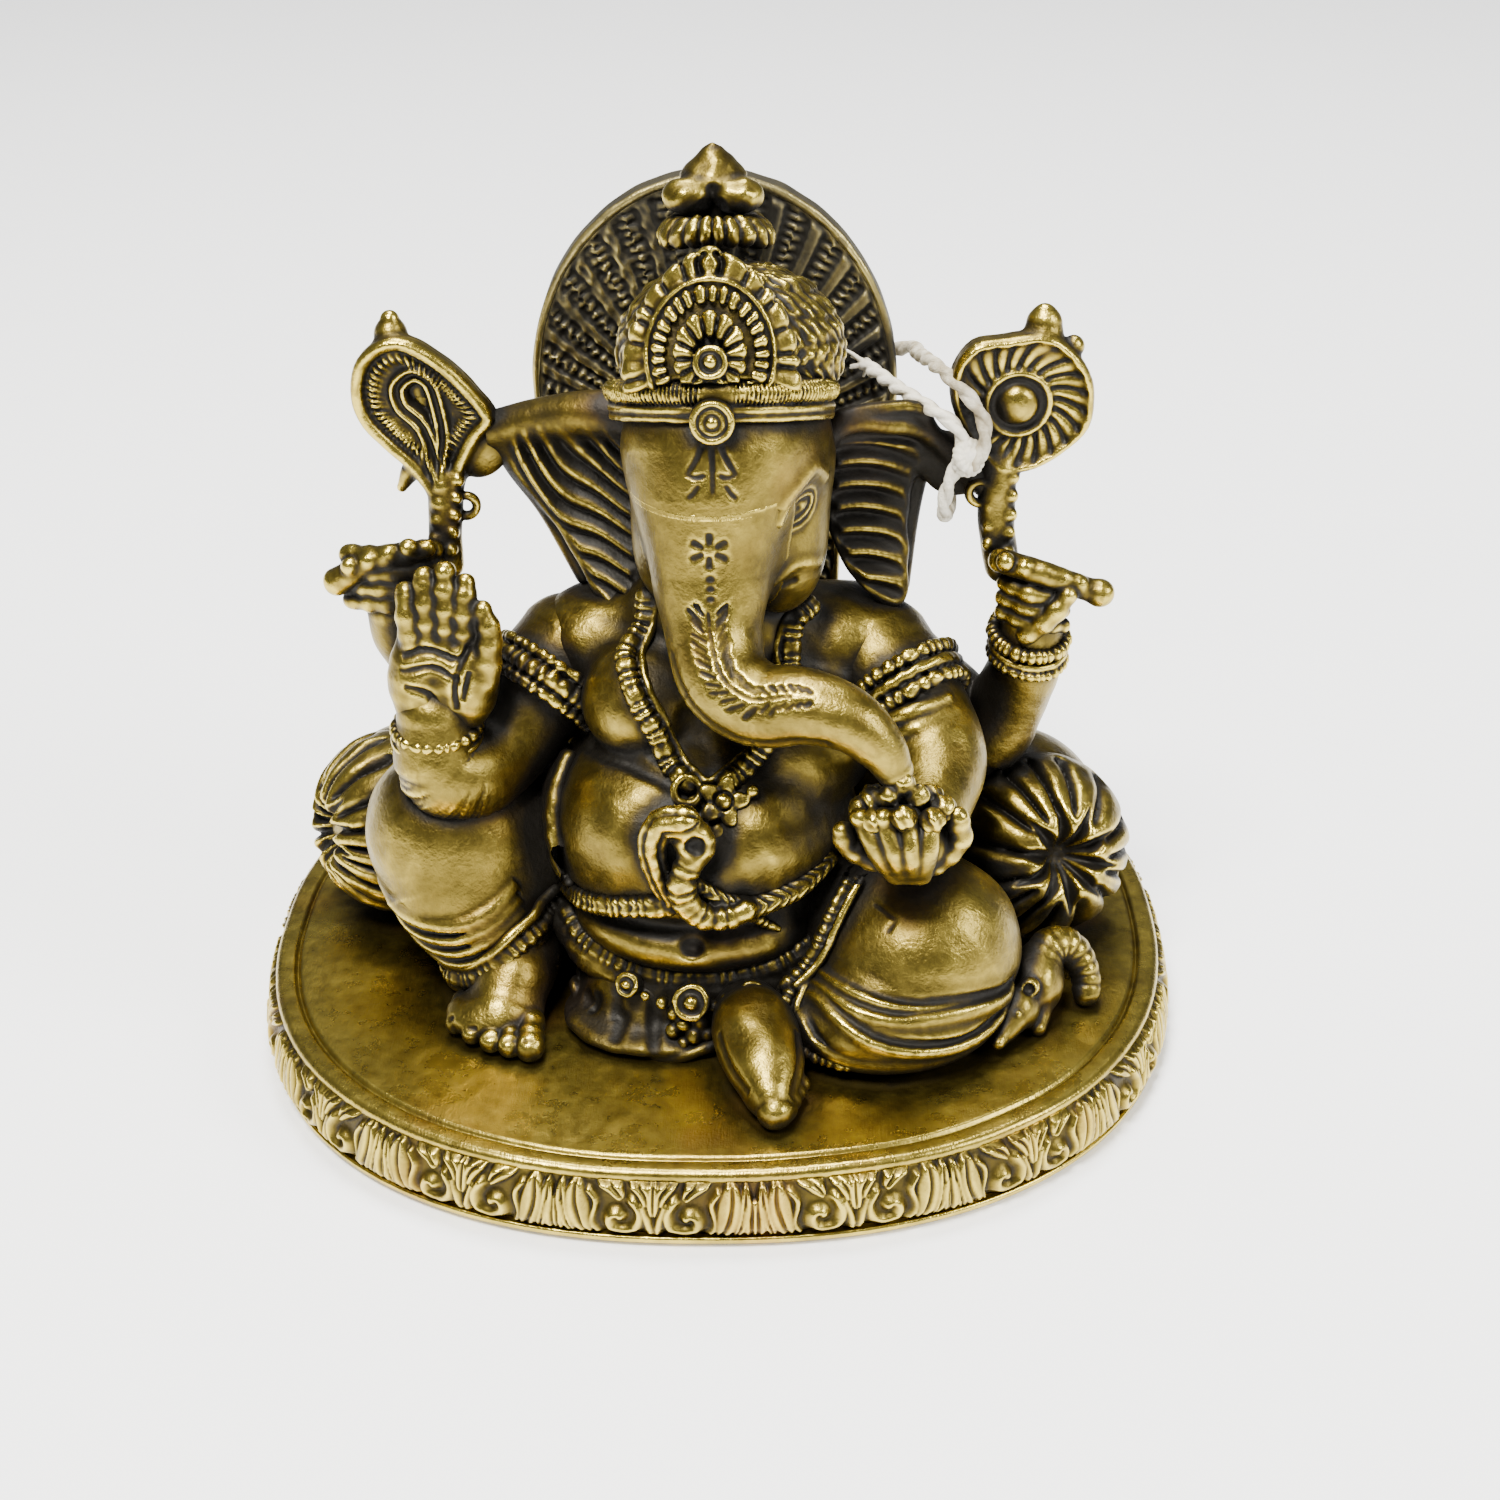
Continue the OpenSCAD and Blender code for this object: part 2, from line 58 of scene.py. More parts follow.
import bpy
import numpy as np
from mathutils import Euler, Vector

cad_lo, cad_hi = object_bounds()

# The figure is sculpted as distance fields, in millimetres, in the frame of the CAD model.
# Each piece is a function of points (3, n) that says how far outside its surface they are,
# and a surface net turns it into a mesh that stands for one or more CAD nodes.
MM = 0.001
DETAIL = 1.0
BLOCK = 8                                # voxels along one side of a block


# ---------------------------------------------------------------- places from the frame

@lru_cache(None)
def corners(node):
    """Lowest and highest corner of a CAD node, in millimetres."""
    lo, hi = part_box(node)
    return np.array(lo) / MM, np.array(hi) / MM


def spot(node):
    """A function from offsets to points, in millimetres from the middle of a CAD node.
    With a fourth number, the radius there, it gives a row of a rod."""
    middle = sum(corners(node)) / 2
    return lambda x, y, z, *radius: np.array([*(middle + (x, y, z)), *radius])


# ---------------------------------------------------------------- distance fields

OUTLINE_STEPS = 4           # points laid on each stretch of an outline
FACING = (0, -1, 0.4)       # the side of a rod where its angle is 0

def length(q):
    return np.sqrt(q[0] * q[0] + q[1] * q[1] + q[2] * q[2])


def turn(x=0.0, y=0.0, z=0.0):
    """Rotation matrix from angles in degrees about X, then Y, then Z."""
    return np.array(Euler(np.radians((x, y, z))).to_matrix(), "f4")


def local(p, centre, axes=None):
    q = p - np.asarray(centre, "f4")[:, None]
    return q if axes is None else axes.T @ q


def egg(p, centre, radii, axes=None):
    """Ellipsoid."""
    q = local(p, centre, axes)
    r = np.asarray(radii, "f4")[:, None]
    near = length(q / r)
    return near * (near - 1) / np.maximum(length(q / (r * r)), 1e-6)


def ball(p, centre, radius):
    return length(local(p, centre)) - radius


def ring(p, centre, radius, thick, axes=None):
    """Torus round its local z, and the angle of each point round it."""
    q = local(p, centre, axes)
    return np.hypot(np.hypot(q[0], q[1]) - radius, q[2]) - thick, np.arctan2(q[1], q[0])


def plate(outline, w, half, soft=0.5):
    """Slab of half thickness half along w, inside an outline, its edges rounded by soft."""
    a = outline + soft
    b = np.abs(w) - half + soft
    return np.minimum(np.maximum(a, b), 0) + np.hypot(np.maximum(a, 0), np.maximum(b, 0)) - soft


def disc(p, centre, radius, half, soft, axes=None):
    q = local(p, centre, axes)
    return plate(np.hypot(q[0], q[1]) - radius, q[2], half, soft)


def outline(u, v, points):
    """How far outside a smooth closed outline through the points each (u, v) lies."""
    rows = np.asarray(points, float)
    way = smooth(np.vstack([rows[-1:], rows, rows[:2]]),
                 OUTLINE_STEPS)[OUTLINE_STEPS:-OUTLINE_STEPS].astype("f4")
    away = np.full(len(u), 1e12, "f4")
    inside = np.zeros(len(u), bool)
    for a, b in zip(way[:-1], way[1:]):
        ex, ey = b - a
        x, y = u - a[0], v - a[1]
        t = np.clip((x * ex + y * ey) / (ex * ex + ey * ey + 1e-9), 0, 1)
        away = np.minimum(away, (x - t * ex) ** 2 + (y - t * ey) ** 2)
        crosses = (a[1] > v) != (b[1] > v)
        inside ^= crosses & (x < y * ex / (ey if ey else 1e-9))
    return np.where(inside, -1, 1) * np.sqrt(away)


def join(a, b, soft=1.0):
    """Union with a fillet."""
    h = np.maximum(soft - np.abs(a - b), 0) / soft
    return np.minimum(a, b) - h * h * soft * 0.25


def meet(a, b, soft=1.0):
    """Intersection with a rounded edge."""
    return -join(-a, -b, soft)


def smooth(path, steps):
    """Points on a curve through the rows of path."""
    t = np.linspace(0, 1, steps, endpoint=False)[:, None]
    spans = [c[0] + t * (c[1] + t * (c[2] + t * c[3])) for c in curve_through(path)]
    return np.vstack(spans + [np.asarray(path[-1:], float)])


def curve_through(path):
    """The cubic between each two rows of path, as four factors of 1, t, t^2 and t^3."""
    rows = np.asarray(path, float)
    rows = np.vstack([2 * rows[0] - rows[1], rows, 2 * rows[-1] - rows[-2]])
    a, b, c, d = rows[:-3], rows[1:-2], rows[2:-1], rows[3:]
    return np.stack([b, 0.5 * (c - a), 0.5 * (2 * a - 5 * b + 4 * c - d),
                     0.5 * (3 * b - a - 3 * c + d)], 1)


def rod(p, path, steps=4):
    """Tapering rod through rows [x, y, z, radius]. Gives the distance, how far along it each
    point is, and the angle round it, which is 0 on the side that faces out."""
    way = smooth(path, steps)
    rough = way.astype("f4")
    best = np.full(p.shape[1], 1e6, "f4")
    place = np.zeros(p.shape[1], "f4")
    for i, (a, b) in enumerate(zip(rough[:-1], rough[1:])):
        ab = b[:3] - a[:3]
        q = p - a[:3, None]
        t = np.clip(ab @ q / (ab @ ab + 1e-9), 0, 1)
        d = length(q - ab[:, None] * t) - (a[3] + t * (b[3] - a[3]))
        m = d < best
        best[m] = d[m]
        place[m] = i + t[m]
    place /= steps
    # from the nearest point of the rough chain to the nearest point of the curve itself
    cubics = curve_through(path).astype("f4")
    for last in (False, False, False, True):
        span = np.clip(place.astype("i4"), 0, len(cubics) - 1)
        t = (place - span)[:, None]
        c = cubics[span]
        centre = c[:, 0] + t * (c[:, 1] + t * (c[:, 2] + t * c[:, 3]))
        slope = c[:, 1] + t * (2 * c[:, 2] + 3 * t * c[:, 3])
        q = p - centre[:, :3].T
        along = slope[:, :3].T
        move = (q * along).sum(0) / ((along * along).sum(0) + 1e-9)
        if not last:
            place = np.clip(place + np.clip(move, -0.3, 0.3), 0, len(cubics))
    across = np.cross(along.T, np.asarray(FACING, "f4")).T
    across = across / (length(across) + 1e-6)
    up = np.cross(across.T, along.T).T
    up = up / (length(up) + 1e-6)
    travel = np.append(0, np.cumsum(np.linalg.norm(np.diff(way[:, :3], axis=0), axis=1)))
    distance = np.interp(place * steps, np.arange(len(way)), travel).astype("f4")
    angle = np.arctan2((across * q).sum(0), (up * q).sum(0))
    return length(q) - centre[:, 3], distance, angle


def limb(p, *rows, steps=4):
    return rod(p, rows, steps)[0]


def rope(p, rows, strands=2, pitch=2.4, depth=0.3, steps=3):
    """Twisted cord."""
    d, s, angle = rod(p, rows, steps)
    return d + depth * (1 - wave(s / pitch + angle / (2 * np.pi) * strands))


def carve(d, q, stroke, width, depth, taper=0.0):
    """Cut a groove along a stroke, or raise a ridge where depth is negative. The points and
    the stroke have three coordinates, or two where the stroke is drawn on a face."""
    pts = np.asarray(stroke, "f4")
    margin = 2.4 * width
    lo, hi = pts.min(0)[:, None] - margin, pts.max(0)[:, None] + margin
    near = np.nonzero(((q > lo) & (q < hi)).all(0))[0]
    if not len(near):
        return d
    q = q[:, near]
    away = np.full(len(near), 1e6, "f4")
    part = np.zeros(len(near), "f4")
    for i, (a, b) in enumerate(zip(pts[:-1], pts[1:])):
        ab = b - a
        r = q - a[:, None]
        t = np.clip(ab @ r / (ab @ ab + 1e-9), 0, 1)
        far = np.sqrt(((r - ab[:, None] * t) ** 2).sum(0))
        m = far < away
        away[m] = far[m]
        part[m] = (i + t[m]) / (len(pts) - 1)
    full = np.clip(4 * part * (1 - part), 0, 1) ** taper if taper else 1.0
    d[near] += depth * full * np.exp(-(away / width) ** 2)
    return d


def bent(*points, steps=4):
    """A smooth stroke through a few points."""
    return smooth(points, steps)


def laid(field, *points, steps=4, above=0.0):
    """A smooth stroke moved onto the surface of a field, or a little above it."""
    way = smooth([q[:3] for q in points], steps)
    for _ in range(5):
        d = field(way.T.astype("f4"))
        slope = np.stack([field((way + 0.05 * np.eye(3)[i]).T.astype("f4")) - d
                          for i in range(3)], 1) / 0.05
        slope /= np.maximum(np.linalg.norm(slope, axis=1, keepdims=True), 0.3)
        way = way - slope * (d - above)[:, None]
    return way


def thick(way, *radii):
    """Rows of a rod from a stroke and the radii along it."""
    r = np.interp(np.linspace(0, 1, len(way)), np.linspace(0, 1, len(radii)), radii)
    return np.column_stack([way, r])


def face_on(q, front):
    """The first two coordinates, with the points that aren't at the front sent far away."""
    return np.where(front, q[:2], 1e3)


def bead(d, p, centre, radius, soft=0.4):
    """Add a small ball."""
    near = np.nonzero(length(local(p, centre)) < radius + soft + 1.0)[0]
    d[near] = join(d[near], ball(p[:, near], centre, radius), soft)
    return d


def pit(d, p, centre, radius, soft=0.4):
    """Cut a small ball out."""
    near = np.nonzero(length(local(p, centre)) < radius + soft + 1.0)[0]
    d[near] = meet(d[near], -ball(p[:, near], centre, radius), soft)
    return d


def wave(x, sharp=1.0):
    """Rounded ridges, one for each whole number, from 0 in the valleys to 1 on the crests."""
    return np.abs(np.cos(np.pi * x)) ** sharp


def step(x, low, high):
    t = np.clip((x - low) / (high - low), 0, 1)
    return t * t * (3 - 2 * t)


def unevenness(p, size, seed):
    """Slow, hand-made waviness between -1 and 1, in waves of about size millimetres."""
    rng = np.random.default_rng(seed)
    total = 0
    for _ in range(4):
        k = rng.normal(size=3)
        k = (k / np.linalg.norm(k) * 2 * np.pi / size * rng.uniform(0.7, 1.4)).astype("f4")
        total = total + np.sin(k @ p + rng.uniform(0, 6.3))
    return total / 4


# ---------------------------------------------------------------- from field to mesh

PART = 400_000              # points worked on at a time

CELL_CORNERS = [(i, j, k) for i in (0, 1) for j in (0, 1) for k in (0, 1)]
CELL_EDGES = [(a, b) for a in CELL_CORNERS for b in CELL_CORNERS
              if a < b and sum(x != y for x, y in zip(a, b)) == 1]


def in_parts(field, p):
    return np.concatenate([field(p[:, i:i + PART]) for i in range(0, p.shape[1], PART)])


def sample(field, lo, hi, voxel):
    """The field on a grid, exact in the blocks near the surface."""
    size = BLOCK * voxel
    blocks = np.ceil((hi - lo) / size).astype(int) + 1
    grid = np.stack(np.meshgrid(*[np.arange(n) for n in blocks], indexing="ij"), -1).reshape(-1, 3)
    middle = (lo + (grid + 0.5) * size - voxel / 2).T.astype("f4")
    rough = in_parts(field, middle)
    close = np.nonzero(np.abs(rough) < size * 1.25 + 0.7)[0]
    cube = np.stack(np.meshgrid(*[np.arange(BLOCK)] * 3, indexing="ij"), -1).reshape(-1, 3)
    at = (lo + grid[close, None, :] * size + cube[None] * voxel).reshape(-1, 3).T.astype("f4")
    fine = in_parts(field, at).reshape(-1, BLOCK, BLOCK, BLOCK)
    dense = np.broadcast_to(rough.reshape(*blocks, 1, 1, 1), (*blocks, BLOCK, BLOCK, BLOCK)).copy()
    dense[tuple(grid[close].T)] = fine
    return dense.transpose(0, 3, 1, 4, 2, 5).reshape(blocks * BLOCK)


def net(dense):
    """Surface net: one vertex in each cell that the surface crosses, one quad for each edge."""
    inside = dense < 0
    n = np.array(dense.shape) - 1
    count = sum(inside[i:i + n[0], j:j + n[1], k:k + n[2]].astype("u1") for i, j, k in CELL_CORNERS)
    cells = np.argwhere((count > 0) & (count < 8))
    value = {c: dense[tuple((cells + c).T)] for c in CELL_CORNERS}
    total, crossed = np.zeros((len(cells), 3)), np.zeros(len(cells))
    for a, b in CELL_EDGES:
        cut = (value[a] < 0) != (value[b] < 0)
        t = value[a] / np.where(cut, value[a] - value[b], 1)
        total += np.where(cut[:, None], np.array(a) + t[:, None] * (np.array(b) - a), 0)
        crossed += cut
    number = np.full(n, -1, "i4")
    number[tuple(cells.T)] = np.arange(len(cells))
    quads = []
    for axis in range(3):
        low = [slice(0, -1) if a == axis else slice(None) for a in range(3)]
        high = [slice(1, None) if a == axis else slice(None) for a in range(3)]
        edges = np.argwhere(inside[tuple(low)] != inside[tuple(high)])
        u, v = np.eye(3, dtype=int)[(axis + 1) % 3], np.eye(3, dtype=int)[(axis + 2) % 3]
        edges = edges[((edges - u - v) >= 0).all(1) & (edges < n).all(1)]
        face = np.stack([number[tuple((edges - s).T)] for s in (0 * u, u, u + v, v)], 1)
        flip = ~inside[tuple(edges.T)]
        face[flip] = face[flip][:, ::-1]
        quads.append(face)
    return cells + total / crossed[:, None], np.vstack(quads)


def settle(field, points, voxel):
    """Move the net's points onto the true surface."""
    p = points.T.astype("f4")
    d = in_parts(field, p)
    nudge = 0.3 * voxel
    slope = np.stack([in_parts(field, p + nudge * np.eye(3, dtype="f4")[:, [i]]) - d for i in range(3)])
    slope = slope / nudge
    move = slope * np.clip(d / np.maximum((slope * slope).sum(0), 0.2), -voxel / 2, voxel / 2)
    return (p - move).T


def sculpted(field, lo, hi, voxel):
    """Points and quads of a field between two corners."""
    lo, hi = np.asarray(lo, float), np.asarray(hi, float)
    points, quads = net(sample(field, lo, hi, voxel))
    return settle(field, lo + points * voxel, voxel), quads


# ---------------------------------------------------------------- how the patina and the painted shade lie

def neighbours(count, quads):
    edges = np.vstack([quads[:, [i, (i + 1) % 4]] for i in range(4)])
    return edges[:, 0], edges[:, 1], np.maximum(np.bincount(edges[:, 0], minlength=count), 1)


def spread(values, near, times):
    """Average each point's value with its neighbours'."""
    a, b, count = near
    for _ in range(times):
        values = 0.5 * values + 0.5 * np.bincount(a, values[b], len(values)) / count
    return values


def normals_of(points, quads):
    n = np.cross(points[quads[:, 2]] - points[quads[:, 0]], points[quads[:, 3]] - points[quads[:, 1]])
    total = np.stack([sum(np.bincount(quads[:, k], n[:, i], len(points)) for k in range(4))
                      for i in range(3)], 1)
    return total / np.maximum(np.linalg.norm(total, axis=1, keepdims=True), 1e-9)


def hollowness(points, quads, normal):
    """How hollow the surface is over about a millimetre: above 0 in creases, below on ridges."""
    a, b, count = near = neighbours(len(points), quads)
    edge = np.linalg.norm(points[a] - points[b], axis=1).mean()
    mean = np.stack([np.bincount(a, points[b, i], len(points)) / count for i in range(3)], 1)
    bend = ((mean - points) * normal).sum(1) / edge ** 2
    return spread(bend, near, max(1, round((0.35 / edge) ** 2)))


class Surroundings:
    """The whole statue's field on a coarse grid, for how deep in a corner a point lies, which sets the
    painted shade and the patina there.
    """

    def __init__(self, pieces, pitch=1.0, margin=7.0):
        self.pitch = pitch
        self.lo = np.array(cad_lo) / MM - 4
        shape = np.ceil((np.array(cad_hi) / MM + 4 - self.lo) / pitch).astype(int) + 1
        self.grid = np.full(shape, margin, "f4")
        for field, lo, hi in pieces:
            a = np.clip(np.floor((lo - margin - self.lo) / pitch).astype(int), 0, shape - 1)
            b = np.clip(np.ceil((hi + margin - self.lo) / pitch).astype(int) + 1, a + 1, shape)
            axes = [self.lo[i] + np.arange(a[i], b[i]) * pitch for i in range(3)]
            p = np.stack(np.meshgrid(*axes, indexing="ij")).reshape(3, -1).astype("f4")
            part = self.grid[a[0]:b[0], a[1]:b[1], a[2]:b[2]]
            np.minimum(part, in_parts(field, p).reshape(part.shape), out=part)

    def at(self, points):
        g = np.clip((points - self.lo) / self.pitch, 0, np.array(self.grid.shape) - 1.001)
        i = g.astype(int)
        f = g - i
        total = 0
        for c in CELL_CORNERS:
            w = np.prod([f[:, k] if c[k] else 1 - f[:, k] for k in range(3)], axis=0)
            total = total + w * self.grid[tuple((i + c).T)]
        return total

    def shade_and_patina(self, points, normal):
        """0 in the open, towards 1 deep between other surfaces, where painted shade darkens the colour."""
        total = 0
        for reach, share in ((1.6, 0.3), (3.2, 0.35), (6.0, 0.35)):
            free = self.at(points + normal * reach)
            total = total + share * np.clip(1 - free / reach, 0, 1)
        return total


# ---------------------------------------------------------------- head, ears and trunk

def head_form(p):
    at = spot("head")
    face = turn(z=-12)
    d = egg(p, at(0.45, 1.54, 1.84), (11.8, 12.5, 13.5), face)
    d = join(d, egg(p, at(-1.35, -4.86, 5.84), (9.4, 7, 7.5), face), 5)
    d = join(d, limb(p, at(-1.95, -4.96, 4.84, 8.4), at(-2.15, -7.46, -1.16, 7.4),
                     at(-2.05, -9.96, -8.16, 6.2)), 5)
    d = join(d, egg(p, at(5.65, -1.96, -7.16), (5.6, 6.4, 9), face), 3)
    return join(d, egg(p, at(-6.55, -0.46, -7.16), (5, 6, 9), face), 3)


ROOT_FILLET = 2.5           # where the trunk leaves the face
ROOT_CUT = 1.3              # how far above the middle of the head the two pieces part
ROOT_OVERLAP = 0.5


def face_form(p):
    return join(head_form(p), trunk_form(p), ROOT_FILLET)


def root_height():
    """The level at which the face piece gives way to the trunk piece."""
    return spot("head")(0, 0, ROOT_CUT)[2]


def face_part(p):
    """The face above the level of the cut, and the head alone below it."""
    cut = root_height() - ROOT_OVERLAP - p[2]
    return np.minimum(head_form(p), np.maximum(face_form(p), cut))


def trunk_part(p):
    """The trunk with its fillet below the level of the cut."""
    cut = p[2] - root_height() - ROOT_OVERLAP
    return np.maximum(np.maximum(face_form(p), trunk_form(p) - ROOT_FILLET), cut)


@lru_cache(None)
def face_strokes():
    """Strokes that fan out under the medallion, and a small flower over three dots below."""
    at = spot("head")
    top, flower = at(-1.55, -13.46, 8.04), at(-1.95, -14.86, -2.56)
    strokes = []

    def cut(origin, width, depth, taper, *marks):
        points = [origin + (x, 0, z) for x, z in marks]
        strokes.append((laid(face_form, *points), width, depth, taper))

    cut(top, 0.3, 0.6, 1.0, (0, 1.2), (0.1, -1.6), (0, -4.8))
    for side in (-1, 1):
        cut(top, 0.3, 0.6, 1.0, (0.9 * side, 1.4), (1.7 * side, -0.6), (2.7 * side, -2.6))
        cut(top, 0.26, 0.5, 1.0, (0.5 * side, -2.2), (1.4 * side, -2.6), (2.5 * side, -2.3))
        cut(top, 0.26, 0.5, 1.0, (1.2 * side, -3.3), (1.8 * side, -4.4), (2.4 * side, -5.0))
    for i in range(6):
        c, s = math.cos(math.pi / 3 * i + 0.5), math.sin(math.pi / 3 * i + 0.5)
        cut(flower, 0.34, 0.55, 0.8, (0.6 * c, 0.6 * s), (1.4 * c, 1.4 * s), (2.2 * c, 2.2 * s))
    for drop in (-3.4, -4.6, -5.7):
        cut(flower, 0.36, 0.45, 0.0, (0, drop), (0.1, drop))
    return strokes


def head(p):
    at = spot("head")
    d = face_part(p)
    # the eye sits in a shallow hollow below the brow, with lids drawn round it
    eye = at(7.05, -7.06, -0.56)
    tilt = turn(x=8, z=38, y=-14)
    q = local(p, eye, tilt)
    front = q[1] < 4
    flat = np.where(front, q[[0, 2]], 1e3)
    d = d + 0.7 * np.exp(-((flat[0] / 3.4) ** 2 + (flat[1] / 2.6) ** 2))
    d = join(d, egg(p, eye, (2.1, 1.5, 1.25), tilt), 0.5)
    for grow, rise in ((1, 0.3), (1.6, 0.16)):
        lid = [(2.5 * grow ** 0.6 * math.cos(a), 1.45 * grow * math.sin(a))
               for a in np.linspace(0, 2 * math.pi, 17)]
        d = carve(d, flat, lid, 0.32, -rise)
    d = carve(d, flat, [(0, 0), (0.05, 0)], 0.55, 0.35)
    brow = laid(head_form, at(4.65, -9.86, -0.76), at(5.65, -9.26, 1.84), at(8.25, -6.46, 3.84),
                at(10.45, -3.86, 1.84))
    d = carve(d, p, brow, 1.0, -0.6)
    mouth = laid(head_form, at(4.65, -8.06, -9.16), at(7.25, -7.06, -7.56), at(9.25, -4.46, -8.56))
    d = carve(d, p, mouth, 0.8, -0.35)
    d = carve(d, p, laid(head_form, at(4.25, -8.46, -10.56), at(7.05, -6.86, -9.76)), 0.5, 0.35)
    for stroke in face_strokes():
        d = carve(d, p, *stroke)
    return d + 0.07 * unevenness(p, 7, 12)


def trunk_form(p):
    at = spot("trunk")
    return limb(p, at(-7.86, 5.75, 11.55, 7.5), at(-7.76, 3.25, 2.55, 6.2), at(-7.36, -0.25, -3.45, 5.6),
                at(-6.06, -3.75, -7.25, 5.2), at(-2.16, -6.25, -9.05, 4.9), at(2.84, -7.75, -8.45, 4.4),
                at(7.84, -9.25, -9.45, 3.7), at(11.34, -10.05, -12.45, 2.9), at(12.94, -10.25, -15.25, 2.2),
                steps=6)


@lru_cache(None)
def trunk_strokes():
    """A spine down the front of the trunk, and short strokes cut by hand on both sides."""
    at = spot("trunk")
    rng = np.random.default_rng(12)
    spine = laid(trunk_form, at(-7.86, -3.25, 1.55), at(-7.46, -5.25, -1.85), at(-6.06, -8.25, -4.85),
                 at(-3.06, -10.65, -5.85), at(0.94, -11.25, -5.25), at(4.74, -11.85, -4.85), steps=8)
    strokes = [(spine[:34], 0.24, 0.35, 0.3)]
    count = 21
    for i in range(count):
        k = int((i + 0.5) / count * (len(spine) - 2))
        ahead = spine[k + 1] - spine[k]
        ahead = ahead / np.linalg.norm(ahead)
        across = np.cross(ahead, (0, -1, 0.5))
        size = 1.0 - 0.55 * max(0.0, (i - 12) / 9)
        for side in (-1, 1):
            start = spine[k] + side * across * rng.uniform(0.35, 0.7)
            end = start + side * across * rng.uniform(1.2, 1.8) * size \
                - ahead * rng.uniform(1.7, 2.5) * size
            strokes.append((laid(trunk_form, start, (start + end) / 2, end, steps=2),
                            0.28, rng.uniform(0.45, 0.65), 1.0))
    return strokes


def trunk(p):
    at = spot("trunk")
    d = trunk_part(p)
    for stroke, width, depth, taper in trunk_strokes():
        d = carve(d, p, stroke, width, depth, taper)
    for stroke in face_strokes():
        d = carve(d, p, *stroke)
    # the fold along the underside, and the nostril of the tip
    fold = laid(trunk_form, at(-12.06, -3.25, -4.45), at(-10.26, -7.75, -9.45), at(-5.06, -10.25, -12.45),
                at(0.94, -11.25, -11.85), at(5.34, -11.25, -10.85))
    d = carve(d, p, fold, 0.8, 0.45)
    d = pit(d, p, at(13.54, -10.65, -17.85), 1.3)
    return d + 0.07 * unevenness(p, 7, 12)


def ear(p, middle, axes, shape, bow, seed):
    """A flap of skin inside an outline in its own plane: its field, its plane coordinates
    and how far inside the edge each point is."""
    q = local(p, middle, axes)
    u, v = q[0], q[2]
    edge = outline(u, v, shape)
    d = plate(edge, q[1] + bow * (u * u + v * v), 1.1, 0.8)
    return d + 0.12 * unevenness(p, 4, seed), u, v, -edge


def right_ear(p):
    at = spot("right_ear")
    shape = [(7.5, 11), (0, 12), (-7, 10), (-8.4, 4.6), (-5.6, -0.6), (-2.4, -5), (0.5, -10),
             (3.5, -14), (6.5, -14), (8, -8), (8.5, 2)]
    d, u, v, inside = ear(p, at(0.5, -0.46, 0.65), turn(z=-12), shape, 0.012, 21)
    # flutes in arcs round the side of the head
    away = np.hypot(u - 9, v - 12) + 0.5 * np.sin(0.6 * u)
    flutes = wave(away / 2.5, 1.2)
    d = d + step(inside, 0.6, 1.8) * (0.6 - 1.2 * flutes)
    top = limb(p, at(9.5, -3.66, 11.25, 2.4), at(3.5, -2.66, 12.05, 2.7), at(-3.5, -0.86, 10.85, 2.4),
               at(-9.5, 0.34, 9.05, 2.2))
    side = limb(p, at(-9, 0.34, 8.65, 1.8), at(-7.1, 1.14, 3.65, 1.4), at(-3.9, 1.14, -1.85, 1.1),
                at(0.1, 0.74, -10.35, 1))
    return join(join(d, top, 1.4), side, 0.8)


def left_ear(p):
    at = spot("left_ear")
    shape = [(-6, 11), (0, 12.4), (5.6, 11.4), (6.4, 7), (4.6, 2), (3.9, -3), (3.8, -8), (3.2, -13),
             (0.4, -13.4), (-3.6, -9), (-6, -3), (-6.5, 4)]
    d, u, v, inside = ear(p, at(-4.26, -0.76, 0.65), turn(z=14), shape, 0.014, 22)
    # flutes run across, deep at the head and fading to the outer edge
    phase = (v + 0.1 * u + 0.035 * (u + 3) ** 2) / 2.9
    low = 1 - step(v, 6.4, 8)
    fade = step(inside, 0.3, 1.4) * (1 - 0.75 * step(u, -2, 4))
    d = d + fade * low * (0.55 - 1.6 * wave(phase + 0.2, 1.6))
    d = d + 0.5 * step(inside, 0.8, 2) * (1 - low)
    top = limb(p, at(-11.26, -5.16, 9.05, 1.3), at(-7.26, -4.16, 11.05, 1.3), at(-2.76, -2.96, 10.35, 1.15),
               at(1.14, -1.76, 9.25, 1.2), at(4.34, -1.16, 6.45, 1.3), at(8.94, -1.36, 2.25, 1.8))
    side = limb(p, at(2.34, -0.16, 7.65, 1.2), at(1.14, 0.84, 2.65, 1), at(0.14, 0.84, -3.35, 0.9),
                at(-0.86, 0.64, -11.75, 1))
    # the web that the cotton tie goes round
    web = egg(p, at(5.14, -0.56, 4.45), (4.2, 1.2, 4), turn(y=30))
    return join(join(join(d, top, 1.2), side, 0.8), web, 1)


# ---------------------------------------------------------------- the crown

def crown_dome(p):
    at = spot("crown_dome")
    d = egg(p, at(0.6, 0.5, -1.6), (12.9, 11.8, 9.6))
    q = local(p, at(0.6, 0.5, 0))
    turnings = np.arctan2(q[0], -q[1])
    hair = wave(turnings * 6 + 0.5 * np.sin(q[2] * 0.9 + 3 * turnings), 1.2) * wave(q[2] / 2.6 + turnings,
                                                                                    0.5)
    return d - 0.4 * hair * (1 - step(q[2], 8, 11)) + 0.25 * unevenness(p, 1.8, 31)


